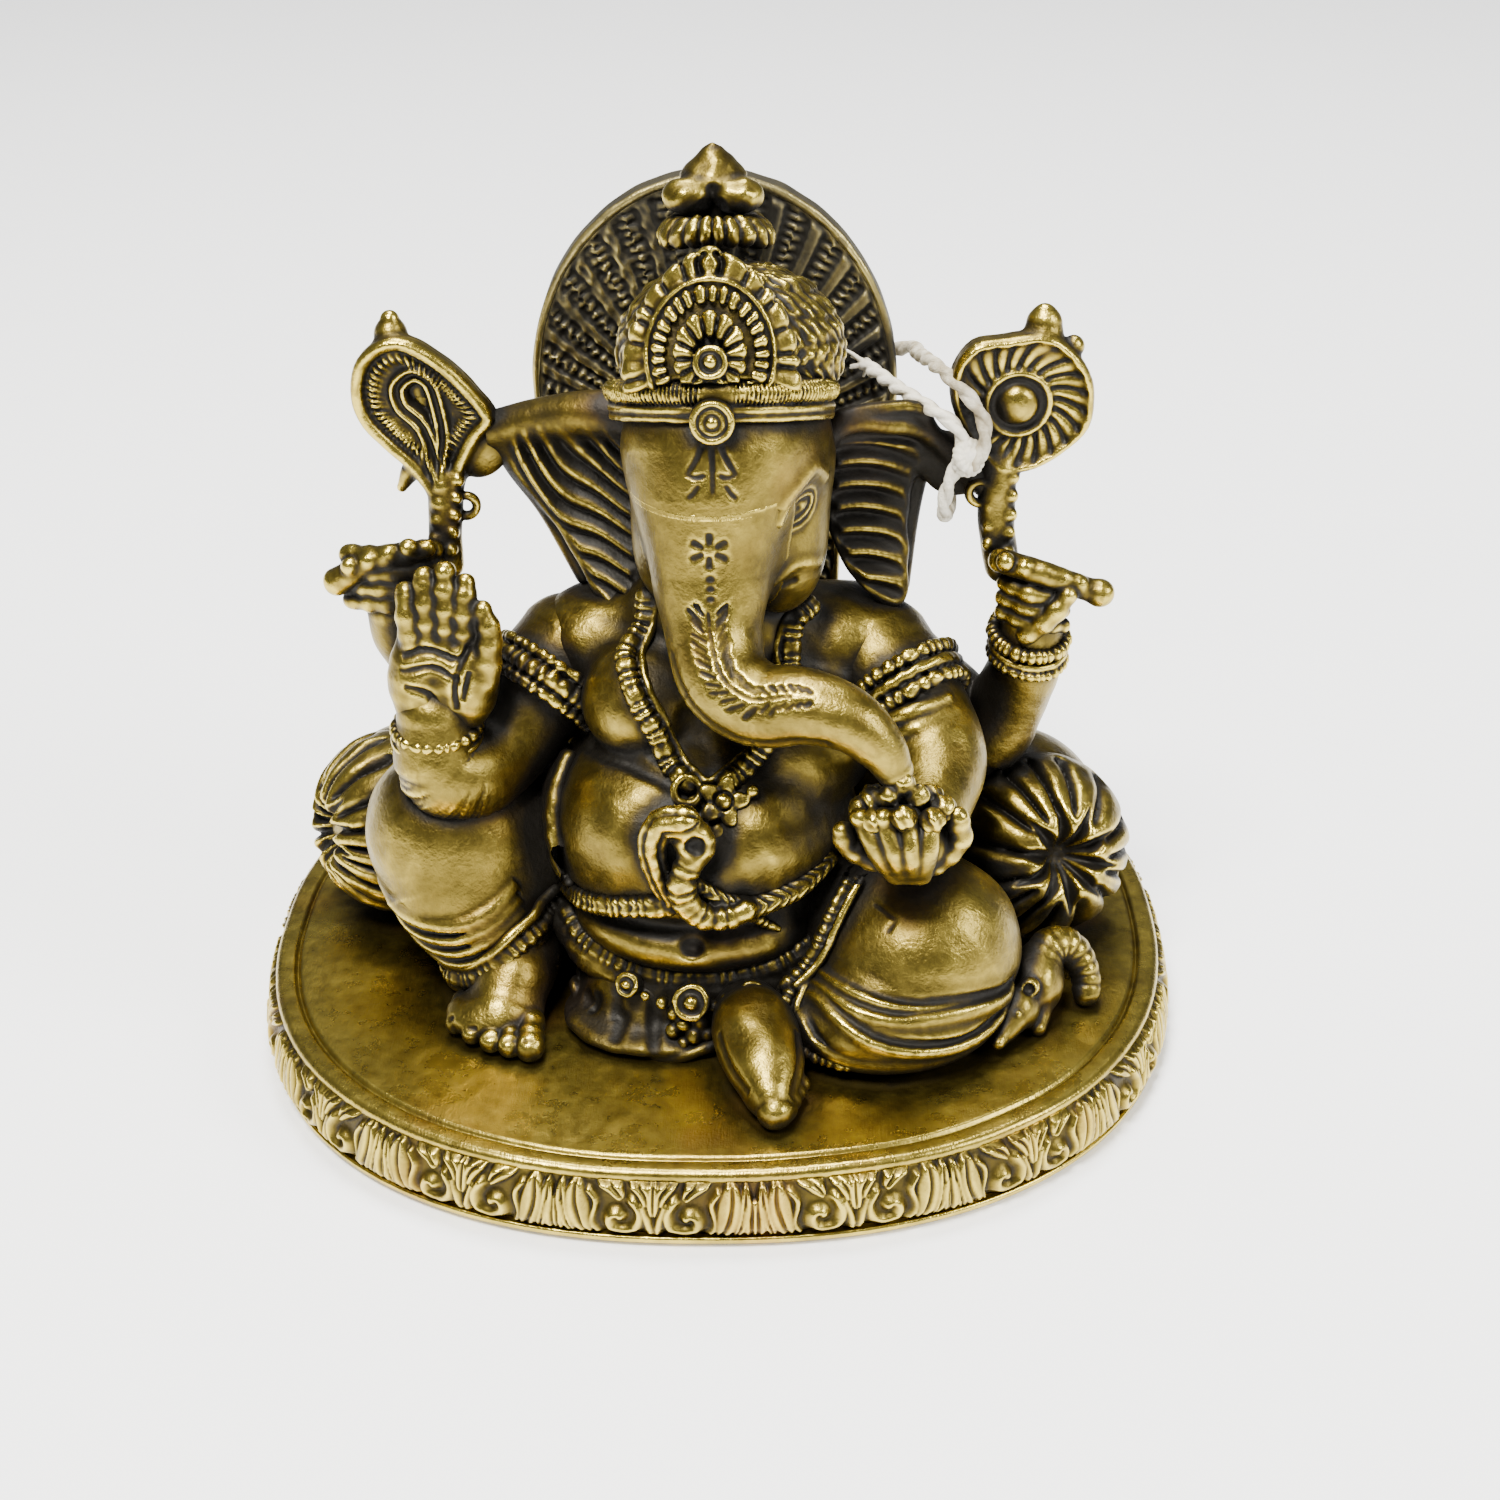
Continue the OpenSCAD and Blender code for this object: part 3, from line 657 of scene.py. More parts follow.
def crown_band(p):
    """A ribbed rope round the brow over thin strips, with a plain bar behind the medallion."""
    at = spot("crown_band")
    tilt = turn(x=-19)
    middle = at(-0.4, -1, -0.77)
    d, a = ring(p, middle, 12.2, 1.35, tilt)
    ribs = wave(a * 26 + 0.3 * np.sin(5 * a) + 0.2 * np.sin(13 * a), 0.8)
    d = d + 0.5 * (1 - ribs) * step(np.abs(a + np.pi / 2), 0.12, 0.16)
    for drop, size in ((1.9, 0.6), (2.9, 0.5)):
        strip, _ = ring(p, middle - (0, 0.2, drop), 12.4, size, tilt)
        d = join(d, strip, 0.3)
    cap = egg(p, middle + (0, 0.4, 0.4), (12.1, 11.9, 3.6), tilt)
    return join(d, cap, 0.3) + 0.08 * unevenness(p, 3, 32)


def crest_frame(p):
    """Coordinates in the plane of the crest, the oval distance from its middle, and the angle."""
    at = spot("crown_crest")
    q = local(p, at(-0.2, -0.56, -1.91), turn(x=66))
    return q, np.hypot(q[0] * 1.16, q[1] + 0.1), np.arctan2(q[1] + 0.6, q[0] * 1.1)


def crown_crest(p):
    q, r, a = crest_frame(p)
    arch = outline(q[0], q[1], [(-9.6, -4.0), (-9.7, 0), (-8.6, 3.8), (-6.6, 7.2), (-3.6, 10),
                                (0, 11.7), (3.6, 10), (6.6, 7.2), (8.6, 3.8), (9.7, 0),
                                (9.6, -4.0), (5, -3.0), (0, -2.7), (-5, -3.0)])
    d = plate(arch, q[2] + 0.02 * q[0] ** 2, 1.6, 0.6)
    # short radial ribs round the edge, and a smooth leaf at the top
    leaf = np.exp(-((a - np.pi / 2) / 0.13) ** 2)
    outer = step(r, 8.2, 8.7) * (1 - leaf)
    uneven = 0.12 * np.sin(7 * a) + 0.1 * np.sin(17 * a)
    d = d + 0.8 * outer * (1 - wave(a * 3.9 + uneven, 0.6))
    d = d - 0.55 * np.exp(-((r - 8.15) / 0.4) ** 2)
    for side in (-1, 1):
        d = carve(d, q[:2], bent((side * 0.7, 10.8), (side * 1.3, 9.8), (side * 1.0, 8.8)), 0.36, 0.8)
    return d + 0.12 * unevenness(p, 2, 33)


def crown_rosette(p):
    """A ring of petals, a ring of larger ones inside it, and a rimmed disc with a knob."""
    q, r, a = crest_frame(p)
    w = q[2] + 0.02 * q[0] ** 2
    below = -3.2 - q[1]
    middle = plate(np.abs(r - 6.5) - 1.05, w - 1.7, 0.8, 0.5)
    middle = middle + 0.75 * (1 - wave(a * 4.9 + 0.5 + 0.1 * np.sin(9 * a), 0.7))
    inner = plate(np.abs(r - 3.4) - 1.6, w - 2.2, 0.9, 0.6)
    inner = inner + 0.9 * (1 - wave(a * 2.23 + 0.5, 0.55)) + 0.25 * step(r, 4.2, 5)
    d = join(middle, inner, 0.3)
    d = np.maximum(d, below * 0.7)
    at = spot("crown_rosette")
    c = at(-0.1, -1.43, -1.28)
    axes = turn(x=66)
    boss = disc(p, c, 1.9, 1.3, 0.4, axes)
    rim, _ = ring(p, c + axes @ (0, 0, 1.2), 1.55, 0.34, axes)
    d = join(join(d, boss, 0.2), rim, 0.2)
    return bead(d, p, c + axes @ (0, 0, 1.4), 0.75) + 0.1 * unevenness(p, 1.8, 34)


def crown_medallion(p):
    at = spot("crown_medallion")
    axes = turn(x=80)
    c = at(0, 1.01, 0.05)
    d = disc(p, c, 2.5, 1.3, 0.5, axes)
    for radius, size in ((2.05, 0.42), (1.2, 0.3)):
        d = join(d, ring(p, c + axes @ (0, 0, 1.25), radius, size, axes)[0], 0.2)
    return bead(d, p, c + axes @ (0, 0, 1.2), 0.75)


def crown_garland(p):
    """A thick ribbed roll like a croissant, its ends turned down."""
    at = spot("crown_garland")
    q = local(p, at(0, 1.2, -0.1), turn(x=-8))
    sag = 0.03 * q[0] ** 2
    d = np.hypot(np.hypot(q[0], q[1]) - 4.9, (q[2] + sag) * 1.1) * 0.88 - 1.75
    a = np.arctan2(q[1], q[0])
    ribs = wave(a * 3.4 + 0.2 * np.sin(4 * a), 0.6)
    return d + 0.6 * (1 - ribs) + 0.2 * unevenness(p, 2, 35)


def crown_finial(p):
    at = spot("crown_finial")
    q = local(p, at(0, 0, 0.1))
    r = np.hypot(q[0], q[1])
    # a pointed onion, and the neck that carries it down to the roll
    heights = np.array([-6, -4, -1.6, 0, 0.9, 1.8, 2.8, 3.8, 4.8, 5.6], "f4")
    widths = np.array([3.0, 3.2, 3.1, 3.0, 3.6, 3.9, 3.2, 2.2, 1.2, 0.1], "f4")
    d = (r - np.interp(q[2], heights, widths)) * 0.72
    d = np.maximum(d, np.abs(q[2]) - 6.5)
    # a lobe at each side with a dark hollow between them
    for side in (-1, 1):
        lobe = egg(p, at(0, -3.2, 0.6) + (3.0 * side, 0, -0.3), (2.9, 2.3, 2.1))
        d = join(d, lobe, 0.7)
    d = pit(d, p, at(0, -5.4, -0.8), 1.5, 0.7)
    d = carve(d, p, bent(at(-5, -4.6, 2), at(0, -5.2, 2.4), at(5, -4.6, 2)), 0.5, 0.4)
    return d + 0.14 * unevenness(p, 2.4, 36)


# ---------------------------------------------------------------- the panel behind the head

def halo_frame(p):
    """Across, up and out from the face of the panel, and how far outside its arch."""
    lo, hi = corners("halo_rim")
    half = (hi[0] - lo[0]) / 2
    foot = lo[2]
    x, z = p[0] - (lo[0] + hi[0]) / 2, p[2]
    centre = hi[2] - 1.18 * half
    arch = (np.hypot(x, (z - centre) / 1.18) - half) * 0.92
    foot_part = np.maximum(np.abs(x) - 0.66 * half - 0.045 * (z - foot), z - centre)
    return x, z - centre, (lo[1] + hi[1]) / 2 - p[1], np.maximum(join(arch, foot_part, 2), foot - z), half


def halo_panel(p):
    x, z, w, edge, _ = halo_frame(p)
    d = plate(edge + 0.5, w, 1.4, 0.4)
    # thin ribs fan out over the arch, with rows of beads between them
    z = z + 9
    a = np.arctan2(z, x)
    r = np.hypot(x, z)
    fan = a * 19 / np.pi + 0.02 * np.sin(r * 0.5)
    rib = np.exp(-((wave(fan) - 1) / 0.16) ** 2)
    rough = step(-x, 1, 6)
    beads = wave(r / (1.15 + 0.12 * np.sin(3 * np.round(fan))) + 0.37 * np.round(fan - 0.5), 0.7)
    beads = beads * (1 - wave(fan, 0.6))
    lumps = 0.25 * unevenness(p, 2.0, 41) + 0.2 * unevenness(p, 1.3, 42)
    zone = step(r, 9, 12) * step(-edge, 0.9, 1.6) * step(w, 0, 0.8)
    relief = 0.75 * rib * (1 - 0.3 * rough) + 0.75 * beads + 0.6 * rough * lumps
    return d - zone * relief + 0.35 * zone + 0.06 * unevenness(p, 4, 43)


def halo_rim(p):
    _, _, w, edge, _ = halo_frame(p)
    d = plate(np.maximum(edge, -0.9 - edge), w, 1.75, 0.45)
    return d + 0.08 * unevenness(p, 6, 44)


# ---------------------------------------------------------------- body and what it wears

def torso_form(p):
    at = spot("torso")
    d = egg(p, at(-2, -0.31, -8.09), (19, 19.5, 17))
    d = join(d, egg(p, at(-0.5, 6.69, 7.41), (18.5, 12.5, 14)), 4)
    d = join(d, egg(p, at(0, 4.69, 18.41), (11, 9.5, 8)), 4)
    d = join(d, egg(p, at(-8.6, -3.31, 9.81), (7.6, 8, 7.6)), 1.6)
    d = join(d, egg(p, at(10.4, -4.31, 5.01), (8.6, 9.4, 8.2)), 1.6)
    for side in (-1, 1):
        d = join(d, egg(p, at(0, 6.69, 12.91) + (side * 14.5, 0, 0), (8, 8, 7)), 3)
    # two lobes of the belly, and the lower roll under its crease
    d = join(d, egg(p, at(-9, -5.91, -3.59), (9.4, 12.4, 9)), 3)
    d = join(d, egg(p, at(5, -6.71, -3.59), (9, 12.4, 8.4)), 3)
    roll = egg(p, at(-2, -5.91, -16.19), (16.4, 14.8, 6.4))
    return join(d, roll, 1.0)


def torso(p):
    at = spot("torso")
    d = torso_form(p)
    crease = laid(torso_form, at(-18, -10.31, -13.19), at(-10, -17.81, -12.79), at(-2, -20.31, -12.59),
                  at(7, -17.91, -12.19), at(13, -12.31, -10.99))
    d = carve(d, p, crease, 1.1, 1.0)
    d = pit(d, p, laid(torso_form, at(-2.9, -21.31, -13.89), at(-2.8, -21.31, -13.89))[0], 1.3, 0.9)
    middle = laid(torso_form, at(-0.4, -12.31, 11.41), at(-0.2, -14.31, 6.41), at(-0.8, -17.81, 1.41),
                  at(-1.6, -19.31, -3.59))
    d = carve(d, p, middle, 1.8, 1.1)
    fold = laid(torso_form, at(-15, -5.31, 4.41), at(-9, -10.31, 2.41), at(-3, -14.31, 3.01))
    d = carve(d, p, fold, 0.9, 0.7)
    return d + 0.14 * unevenness(p, 8, 51) + 0.06 * unevenness(p, 2.6, 52)


def ribbed(p, way, sizes, pitch=1.2, depth=0.32, flat=0.0, slant=0.0):
    """A cord or band with ribs across it, as if each were pressed in by hand."""
    rows = thick(way, *sizes)[::2]
    d, s, angle = rod(p, rows, 2)
    uneven = 0.18 * np.sin(s * 1.7 + 5) + slant * np.abs(angle)
    ribs = wave(s / pitch + uneven, 0.8)
    return d + depth * (1 - ribs) * (0.75 + 0.35 * np.sin(s * 0.9 + 5)) + flat * np.cos(angle) ** 8


def shawl(p):
    """Loose strands of cloth that fall beside the belly."""
    at = spot("shawl")
    d = np.full(p.shape[1], 1e3, "f4")
    for i in range(4):
        lean = np.array((1.7 * i, -1.2 * i, 0.0))
        way = laid(torso_form, at(-7.17, 4.25, 2.5) + lean, at(-6.57, 1.25, -2.5) + lean,
                   at(-5.57, -1.15, -6.9) + lean, at(-3.57, -2.75, -10.9) + lean, above=0.4)
        strand = limb(p, *thick(way, 1.0, 1.25, 1.1, 0.8)[::2], steps=2)
        d = join(d, strand, 0.4)
    return d + 0.12 * unevenness(p, 3, 53)


def necklace(p):
    at = spot("necklace")
    left = laid(torso_form, at(-10.85, 7.25, 10.2), at(-12.05, 3.25, 5.9), at(-10.75, -0.75, 1.3),
                at(-8.45, -3.75, -2.2), at(-6.25, -5.35, -5), at(-4.25, -6.35, -6.8), above=0.5)
    right = laid(torso_form, at(12.75, 7.25, 10.6), at(10.75, 3.25, 7.8), at(8.75, -0.75, 4.2),
                 at(6.35, -2.75, 0.2),
                 at(3.15, -4.35, -4.2), at(0.15, -6.15, -6.8), above=0.5)
    d = join(ribbed(p, left, (1.3,), 1.25, 0.5, 0.25), ribbed(p, right, (1.35,), 1.25, 0.45, 0.25), 0.3)
    for way, off in ((left, 1.9), (right, -1.9)):
        thin = laid(torso_form, *(way[::4] + (off, 0.4, 0)), above=0.2)
        d = join(d, limb(p, *thick(thin, 0.5)[::2], steps=2), 0.4)
    return d + 0.1 * unevenness(p, 1.8, 54)


def pendant(p):
    """A flower below the necklace, a hooked ring beside it and drops under it."""
    at = spot("pendant")
    c = laid(torso_form, at(0.8, 0.5, -0.13), at(0.8, 0.5, -0.03), above=0.3)[0]
    axes = turn(x=58, z=8)
    q = local(p, c, axes)
    r, a = np.hypot(q[0], q[1]), np.arctan2(q[1], q[0])
    flower = plate(r - 2.7 - 0.4 * np.cos(5 * a), q[2], 0.9, 0.5)
    flower = flower + 0.45 * (1 - wave(a * 2.5 / np.pi, 0.7)) * step(r, 1.0, 1.6)
    d = pit(flower, p, c + axes @ (0, 0, 1.2), 1.3, 0.3)
    d = bead(d, p, c + axes @ (0, 0, 0.7), 0.95, 0.2)
    for part, width in ((1.0, 1.55), (-1.0, 1.1)):
        hook, _ = ring(p, c + (-4.2 + 0.9 * (part < 0), 0.4, 1.2 * part), width, 0.5, axes)
        d = join(d, hook, 0.3)
    for offset, size in (((-2.4, -0.2, -3.0), 1.0), ((-0.6, -0.6, -3.6), 1.15), ((1.3, -0.4, -4.0), 0.95),
                         ((3.0, 0.2, -1.8), 0.8), ((-1.6, -0.8, -5.0), 0.8), ((3.4, 0.4, 1.2), 0.8)):
        d = bead(d, p, c + offset, size, 0.5)
    return d + 0.14 * unevenness(p, 1.6, 55)


def snake_belt(p):
    """A snake tied round the belly, its head raised over the knot in front."""
    at = spot("snake_belt")
    left = laid(torso_form, at(-18.23, 9.8, -12.18), at(-16.23, 5.8, -10.78), at(-12.83, 1.8, -9.58),
                at(-8.23, -2.2, -7.58),
                at(-2.83, -4.6, -6.18), above=0.4)
    right = laid(torso_form, at(0.77, -5.2, -3.18), at(4.17, -5.2, -5.78), at(7.17, -4.8, -6.98),
                 at(10.37, -3.2, -6.38),
                 at(13.77, -1.2, -5.38), at(17.17, 1.8, -4.18), above=0.4)
    d = join(ribbed(p, left, (0.7, 1.35, 1.5), 1.15, 0.34, 0.3, 0.35),
             ribbed(p, right, (0.9, 1.4, 1.35, 0.9), 1.3, 0.36, 0.2, 0.8), 0.3)
    # the strap up the left, and over it the head with its hollow eye
    strap = [at(-2.63, -4.8, -5.38, 1.2), at(-3.83, -5.4, -1.38, 1.5), at(-4.33, -5.8, 2.62, 1.7),
             at(-3.13, -6.1, 5.62, 1.9), at(-0.63, -6.5, 6.22, 2.0)]
    neck, _, angle = rod(p, strap, 4)
    neck = neck + 0.35 * np.exp(-((np.abs(angle) - 0.7) / 0.25) ** 2)
    d = join(d, neck, 0.3)
    face = egg(p, at(0.57, -6.4, 3.42), (2.5, 1.7, 3.2), turn(y=-12))
    d = join(d, face, 0.6)
    d = pit(d, p, at(0.77, -8.1, 3.62), 1.25, 0.5)
    body = bent(at(0.17, -6.6, 1.22), at(-0.93, -7, -1.38), at(-0.63, -7, -4.18), at(1.37, -6.6, -6.58),
                at(4.37, -6.1, -6.98), at(6.37, -5.6, -6.38))
    d = join(d, ribbed(p, body, (1.7, 1.75, 1.6, 1.3), 1.55, 0.3, 0.15), 0.3)
    tail = laid(torso_form, at(5.37, -5.2, -7.18), at(8.37, -4.2, -9.38), at(10.77, -3.2, -10.58),
                above=0.2)
    return join(d, ribbed(p, tail, (1.1, 0.5), 1.2, 0.3), 0.4) + 0.1 * unevenness(p, 1.8, 56)


def girdle(p):
    at = spot("girdle")
    rows = (at(-14, 4.9, 1.5), at(-10.7, 0.5, -1.9), at(-4.4, -3.5, -3.6), at(2.8, -5.5, -4.3),
            at(10.1, -4.5, -3.6), at(15, -2.9, -1.3), at(19, 0.5, 2.1))
    upper = laid(torso_form, *rows, above=0.5)
    d = ribbed(p, upper, (1.25,), 1.25, 0.4, 0.2)
    for drop, size in ((1.9, 0.6), (3.1, 0.9)):
        way = upper - (0, 0.25 * drop, drop)
        d = join(d, ribbed(p, way, (size,), 1.1, 0.22), 0.3)
    # plain cloth behind the cords
    behind = limb(p, *[np.append(row + (0, 1.2, -2), 2.6) for row in upper[::4]], steps=2)
    return join(d, behind, 0.4) + 0.12 * unevenness(p, 1.8, 57)


def girdle_medallions(p):
    at = spot("girdle_medallions")
    d = np.full(p.shape[1], 1e3, "f4")
    for c, size, z in ((at(-7.85, 1.79, 1), 1.5, -22), (at(-0.25, -1.01, 0.4), 2.2, -4),
                       (at(6.75, -0.21, 1.1), 1.5, 12)):
        axes = turn(x=66, z=z)
        coin = disc(p, c, size, 0.9, 0.3, axes)
        coin = join(coin, ring(p, c + axes @ (0, 0, 0.8), size - 0.3, 0.36, axes)[0], 0.2)
        d = join(d, bead(coin, p, c + axes @ (0, 0, 0.8), size * 0.42), 0.2)
    # a cluster of drops hangs from the middle coin
    for dx, dy, dz, size in ((-2.2, 0, -1.9, 0.9), (2.6, 0, -0.8, 0.7), (-3.6, 0.3, -0.6, 0.8),
                             (-1.0, -0.4, -3.0, 1.1), (1.0, -0.4, -2.8, 1.0), (-2.4, -0.6, -3.9, 0.9),
                             (0.2, -0.9, -4.4, 1.1), (1.7, -0.6, -4.4, 0.9), (-1.1, -1.1, -5.6, 0.9),
                             (3.9, 0.2, 0.2, 0.6), (-5.6, 0.6, 0.2, 0.6)):
        d = bead(d, p, at(-0.25, -0.81, 0.4) + (dx, dy, dz), size, 0.4)
    return d + 0.12 * unevenness(p, 1.5, 58)


def apron_form(p):
    at = spot("apron")
    d = egg(p, at(-2.67, 2.52, -1.39), (9.6, 9.6, 5.2))
    d = join(d, egg(p, at(-2.87, -2.08, -4.79), (11.6, 9.4, 2.1)), 3.5)
    return join(d, egg(p, at(6.13, -1.98, -1.99), (6, 6.4, 4.4)), 2)


def apron(p):
    """Cloth that falls from the girdle onto the deck, with a rolled hem."""
    at = spot("apron")
    d = apron_form(p)
    for start, end in ((at(-9.27, -1.48, -1.99), at(-10.27, -4.48, -4.99)),
                       (at(-6.27, -3.48, -0.99), at(-6.87, -7.48, -4.79)),
                       (at(-2.87, -5.48, -0.99), at(-2.87, -9.48, -4.79)),
                       (at(0.33, -5.48, -0.99), at(1.13, -9.48, -4.59))):
        way = laid(apron_form, start, (start + end) / 2, end)
        d = carve(d, p, way, 0.8, 0.5)
    hem = laid(apron_form, at(-13.27, 2.52, -3.59), at(-11.47, -2.08, -4.99), at(-7.27, -7.08, -5.19),
               at(-2.67, -9.88, -5.09),
               at(2.73, -9.88, -4.79), at(6.33, -8.08, -4.59), above=0.1)
    inner = hem + (0.5, 1.9, 1.0)
    d = join(d, limb(p, *thick(hem, 0.75)[::2], steps=2), 0.3)
    d = join(d, limb(p, *thick(inner, 0.5)[::2], steps=2), 0.3)
    return d + 0.12 * unevenness(p, 3, 59)


# ---------------------------------------------------------------- arms, hands and emblems

def right_front_arm(p):
    at = spot("right_front_arm")
    d = limb(p, at(6.18, 5.17, 3.78, 8), at(2.18, 2.17, 0.78, 7), at(-1.82, -2.83, -4.22, 5.6),
             at(-5.82, -7.23, -5.62, 5.8),
             at(-8.82, -8.23, -3.82, 5.8), at(-9.42, -7.63, 2.28, 4.6))
    return d + 0.1 * unevenness(p, 7, 61)


def digit(p, rows, seed):
    """A finger or a toe: a rod with joints."""
    d, s, _ = rod(p, rows, 3)
    return d + 0.16 * wave(s / 2.3 + 0.3 * seed, 2) - 0.08


def right_front_hand(p):
    at = spot("right_front_hand")
    d = egg(p, at(-0.66, -0.09, -5.33), (6.5, 3.3, 7.2))
    d = join(d, egg(p, at(-3.46, -1.09, -6.73), (3.4, 3, 5.6)), 1.5)
    d = join(d, egg(p, at(2.14, -1.49, -6.13), (3.4, 2.8, 5.6)), 1.5)
    for i, (x, top) in enumerate(((-34.9, 54.4), (-32.6, 56.4), (-30.2, 57), (-27.9, 55.6))):
        base = at(-0.86, -1.09, -0.73) + (0.86 * (x + 31.4), 0, 0)
        tip = at(30.54, 0.31, -48.13) + (x, 0, top)
        finger = digit(p, [np.append(base, 1.5), np.append((base + tip) / 2 - (0, 0.3, 0), 1.55),
                           np.append(tip - (0, 0, 1.2), 1.3)], i)
        d = join(d, finger, 0.35)
    d = join(d, egg(p, at(-0.46, 0.71, 0.47), (5.4, 1.8, 5)), 1)
    thumb = digit(p, [at(2.94, -2.09, -8.13, 2), at(4.84, -2.29, -3.73, 1.7), at(5.34, -1.69, 0.87, 1.4),
                      at(4.64, -1.09, 3.47, 1.1)], 0)
    d = join(d, thumb, 0.8)
    q = local(p, at(-0.46, -3.09, -4.13))
    flat = face_on(q[[0, 2]], q[1] < 3)
    for line in (((-4.6, 2.2), (-1.6, 3.2), (2.2, 2.2), (3.6, 3.8)), ((-4.8, 0.6), (-1, 1.2), (2.6, -0.4)),
                 ((3.4, 3.6), (1.8, 0), (1.6, -4)), ((-4.4, -1), (-1.6, -2), (-0.6, -5)),
                 ((3.4, 1), (2.4, -2.6))):
        d = carve(d, flat, bent(*line), 0.42, 0.5, 0.4)
    return d + 0.1 * unevenness(p, 3, 62)


def aim(x, y, z):
    """Axes whose z runs along a direction."""
    return np.array(Vector((x, y, z)).to_track_quat("Z", "Y").to_matrix(), "f4")


def ribbed_ring(p, centre, radius, size, axes, ribs, depth=0.3):
    d, a = ring(p, centre, radius, size, axes)
    uneven = 0.2 * np.sin(5 * a) + 0.15 * np.sin(11 * a + ribs)
    return d + depth * (1 - wave(a * ribs / (2 * np.pi) + uneven, 0.8))


def right_armlet(p):
    at = spot("right_armlet")
    axes = aim(-0.55, -0.5, -0.67)
    d = np.full(p.shape[1], 1e3, "f4")
    for shift, size in ((-1.9, 0.7), (0, 1.2), (1.9, 0.8)):
        c = at(0.9, 0, 1.2) + axes @ (0, 0, shift)
        d = join(d, ribbed_ring(p, c, 7.6 - 0.12 * shift, size, axes, 34), 0.25)
    for i in range(4):
        angle = math.radians(200 + 22 * i)
        c = at(0.9, 0, 1.2) + axes @ (8.2 * math.cos(angle), 8.2 * math.sin(angle), -2.6)
        d = bead(d, p, c, 1.1, 0.5)
    return d + 0.14 * unevenness(p, 1.8, 72)


def right_bracelet(p):
    at = spot("right_bracelet")
    axes = turn(x=6)
    d = ribbed_ring(p, at(0.4, 0, -0.8), 4.9, 0.8, axes, 26)
    return join(d, ring(p, at(0.4, 0, -2.2), 5.1, 0.55, axes)[0], 0.3)


def right_rear_arm(p):
    at = spot("right_rear_arm")
    d = limb(p, at(8.85, 0, 1.13, 7), at(1.85, 2, -3.87, 6), at(-4.15, 1.6, -4.87, 5),
             at(-8.55, 0, 0.53, 4.4),
             at(-11.75, -2.6, 6.13, 3.6), at(-12.15, -3.6, 10.13, 3.4))
    return d + 0.1 * unevenness(p, 6, 63)


def right_rear_hand(p):
    at = spot("right_rear_hand")
    d = egg(p, at(0.05, 0.4, -0.85), (4.2, 3.2, 5))
    for i in range(4):
        z = 55.2 - 1.95 * i
        knuckle = digit(p, [at(5.25, -0.6, -50.85, 1.3) + (0, 0, z, 0), at(0.25, -2.9, -50.85, 1.45) + (0,
                                                                                                        0,
                                                                                                        z,
                                                                                                        0),
                            at(-4.75, -1.2, -50.85, 1.25) + (0, 0, z - 0.4, 0)], i)
        d = join(d, knuckle, 0.3)
    # the stub of what the fist holds, with round lumps along it
    d = join(d, limb(p, at(4.85, -2.6, 5.35, 1.1), at(-1.15, -3, 4.15, 1.3), at(-6.35, -2, 0.75, 1.7)), 0.4)
    for i in range(4):
        d = bead(d, p, at(2.85, -3.4, 5.75) + (-2.4 * i, 0, -0.8 * i), 1.15)
    return d + 0.08 * unevenness(p, 3, 64)


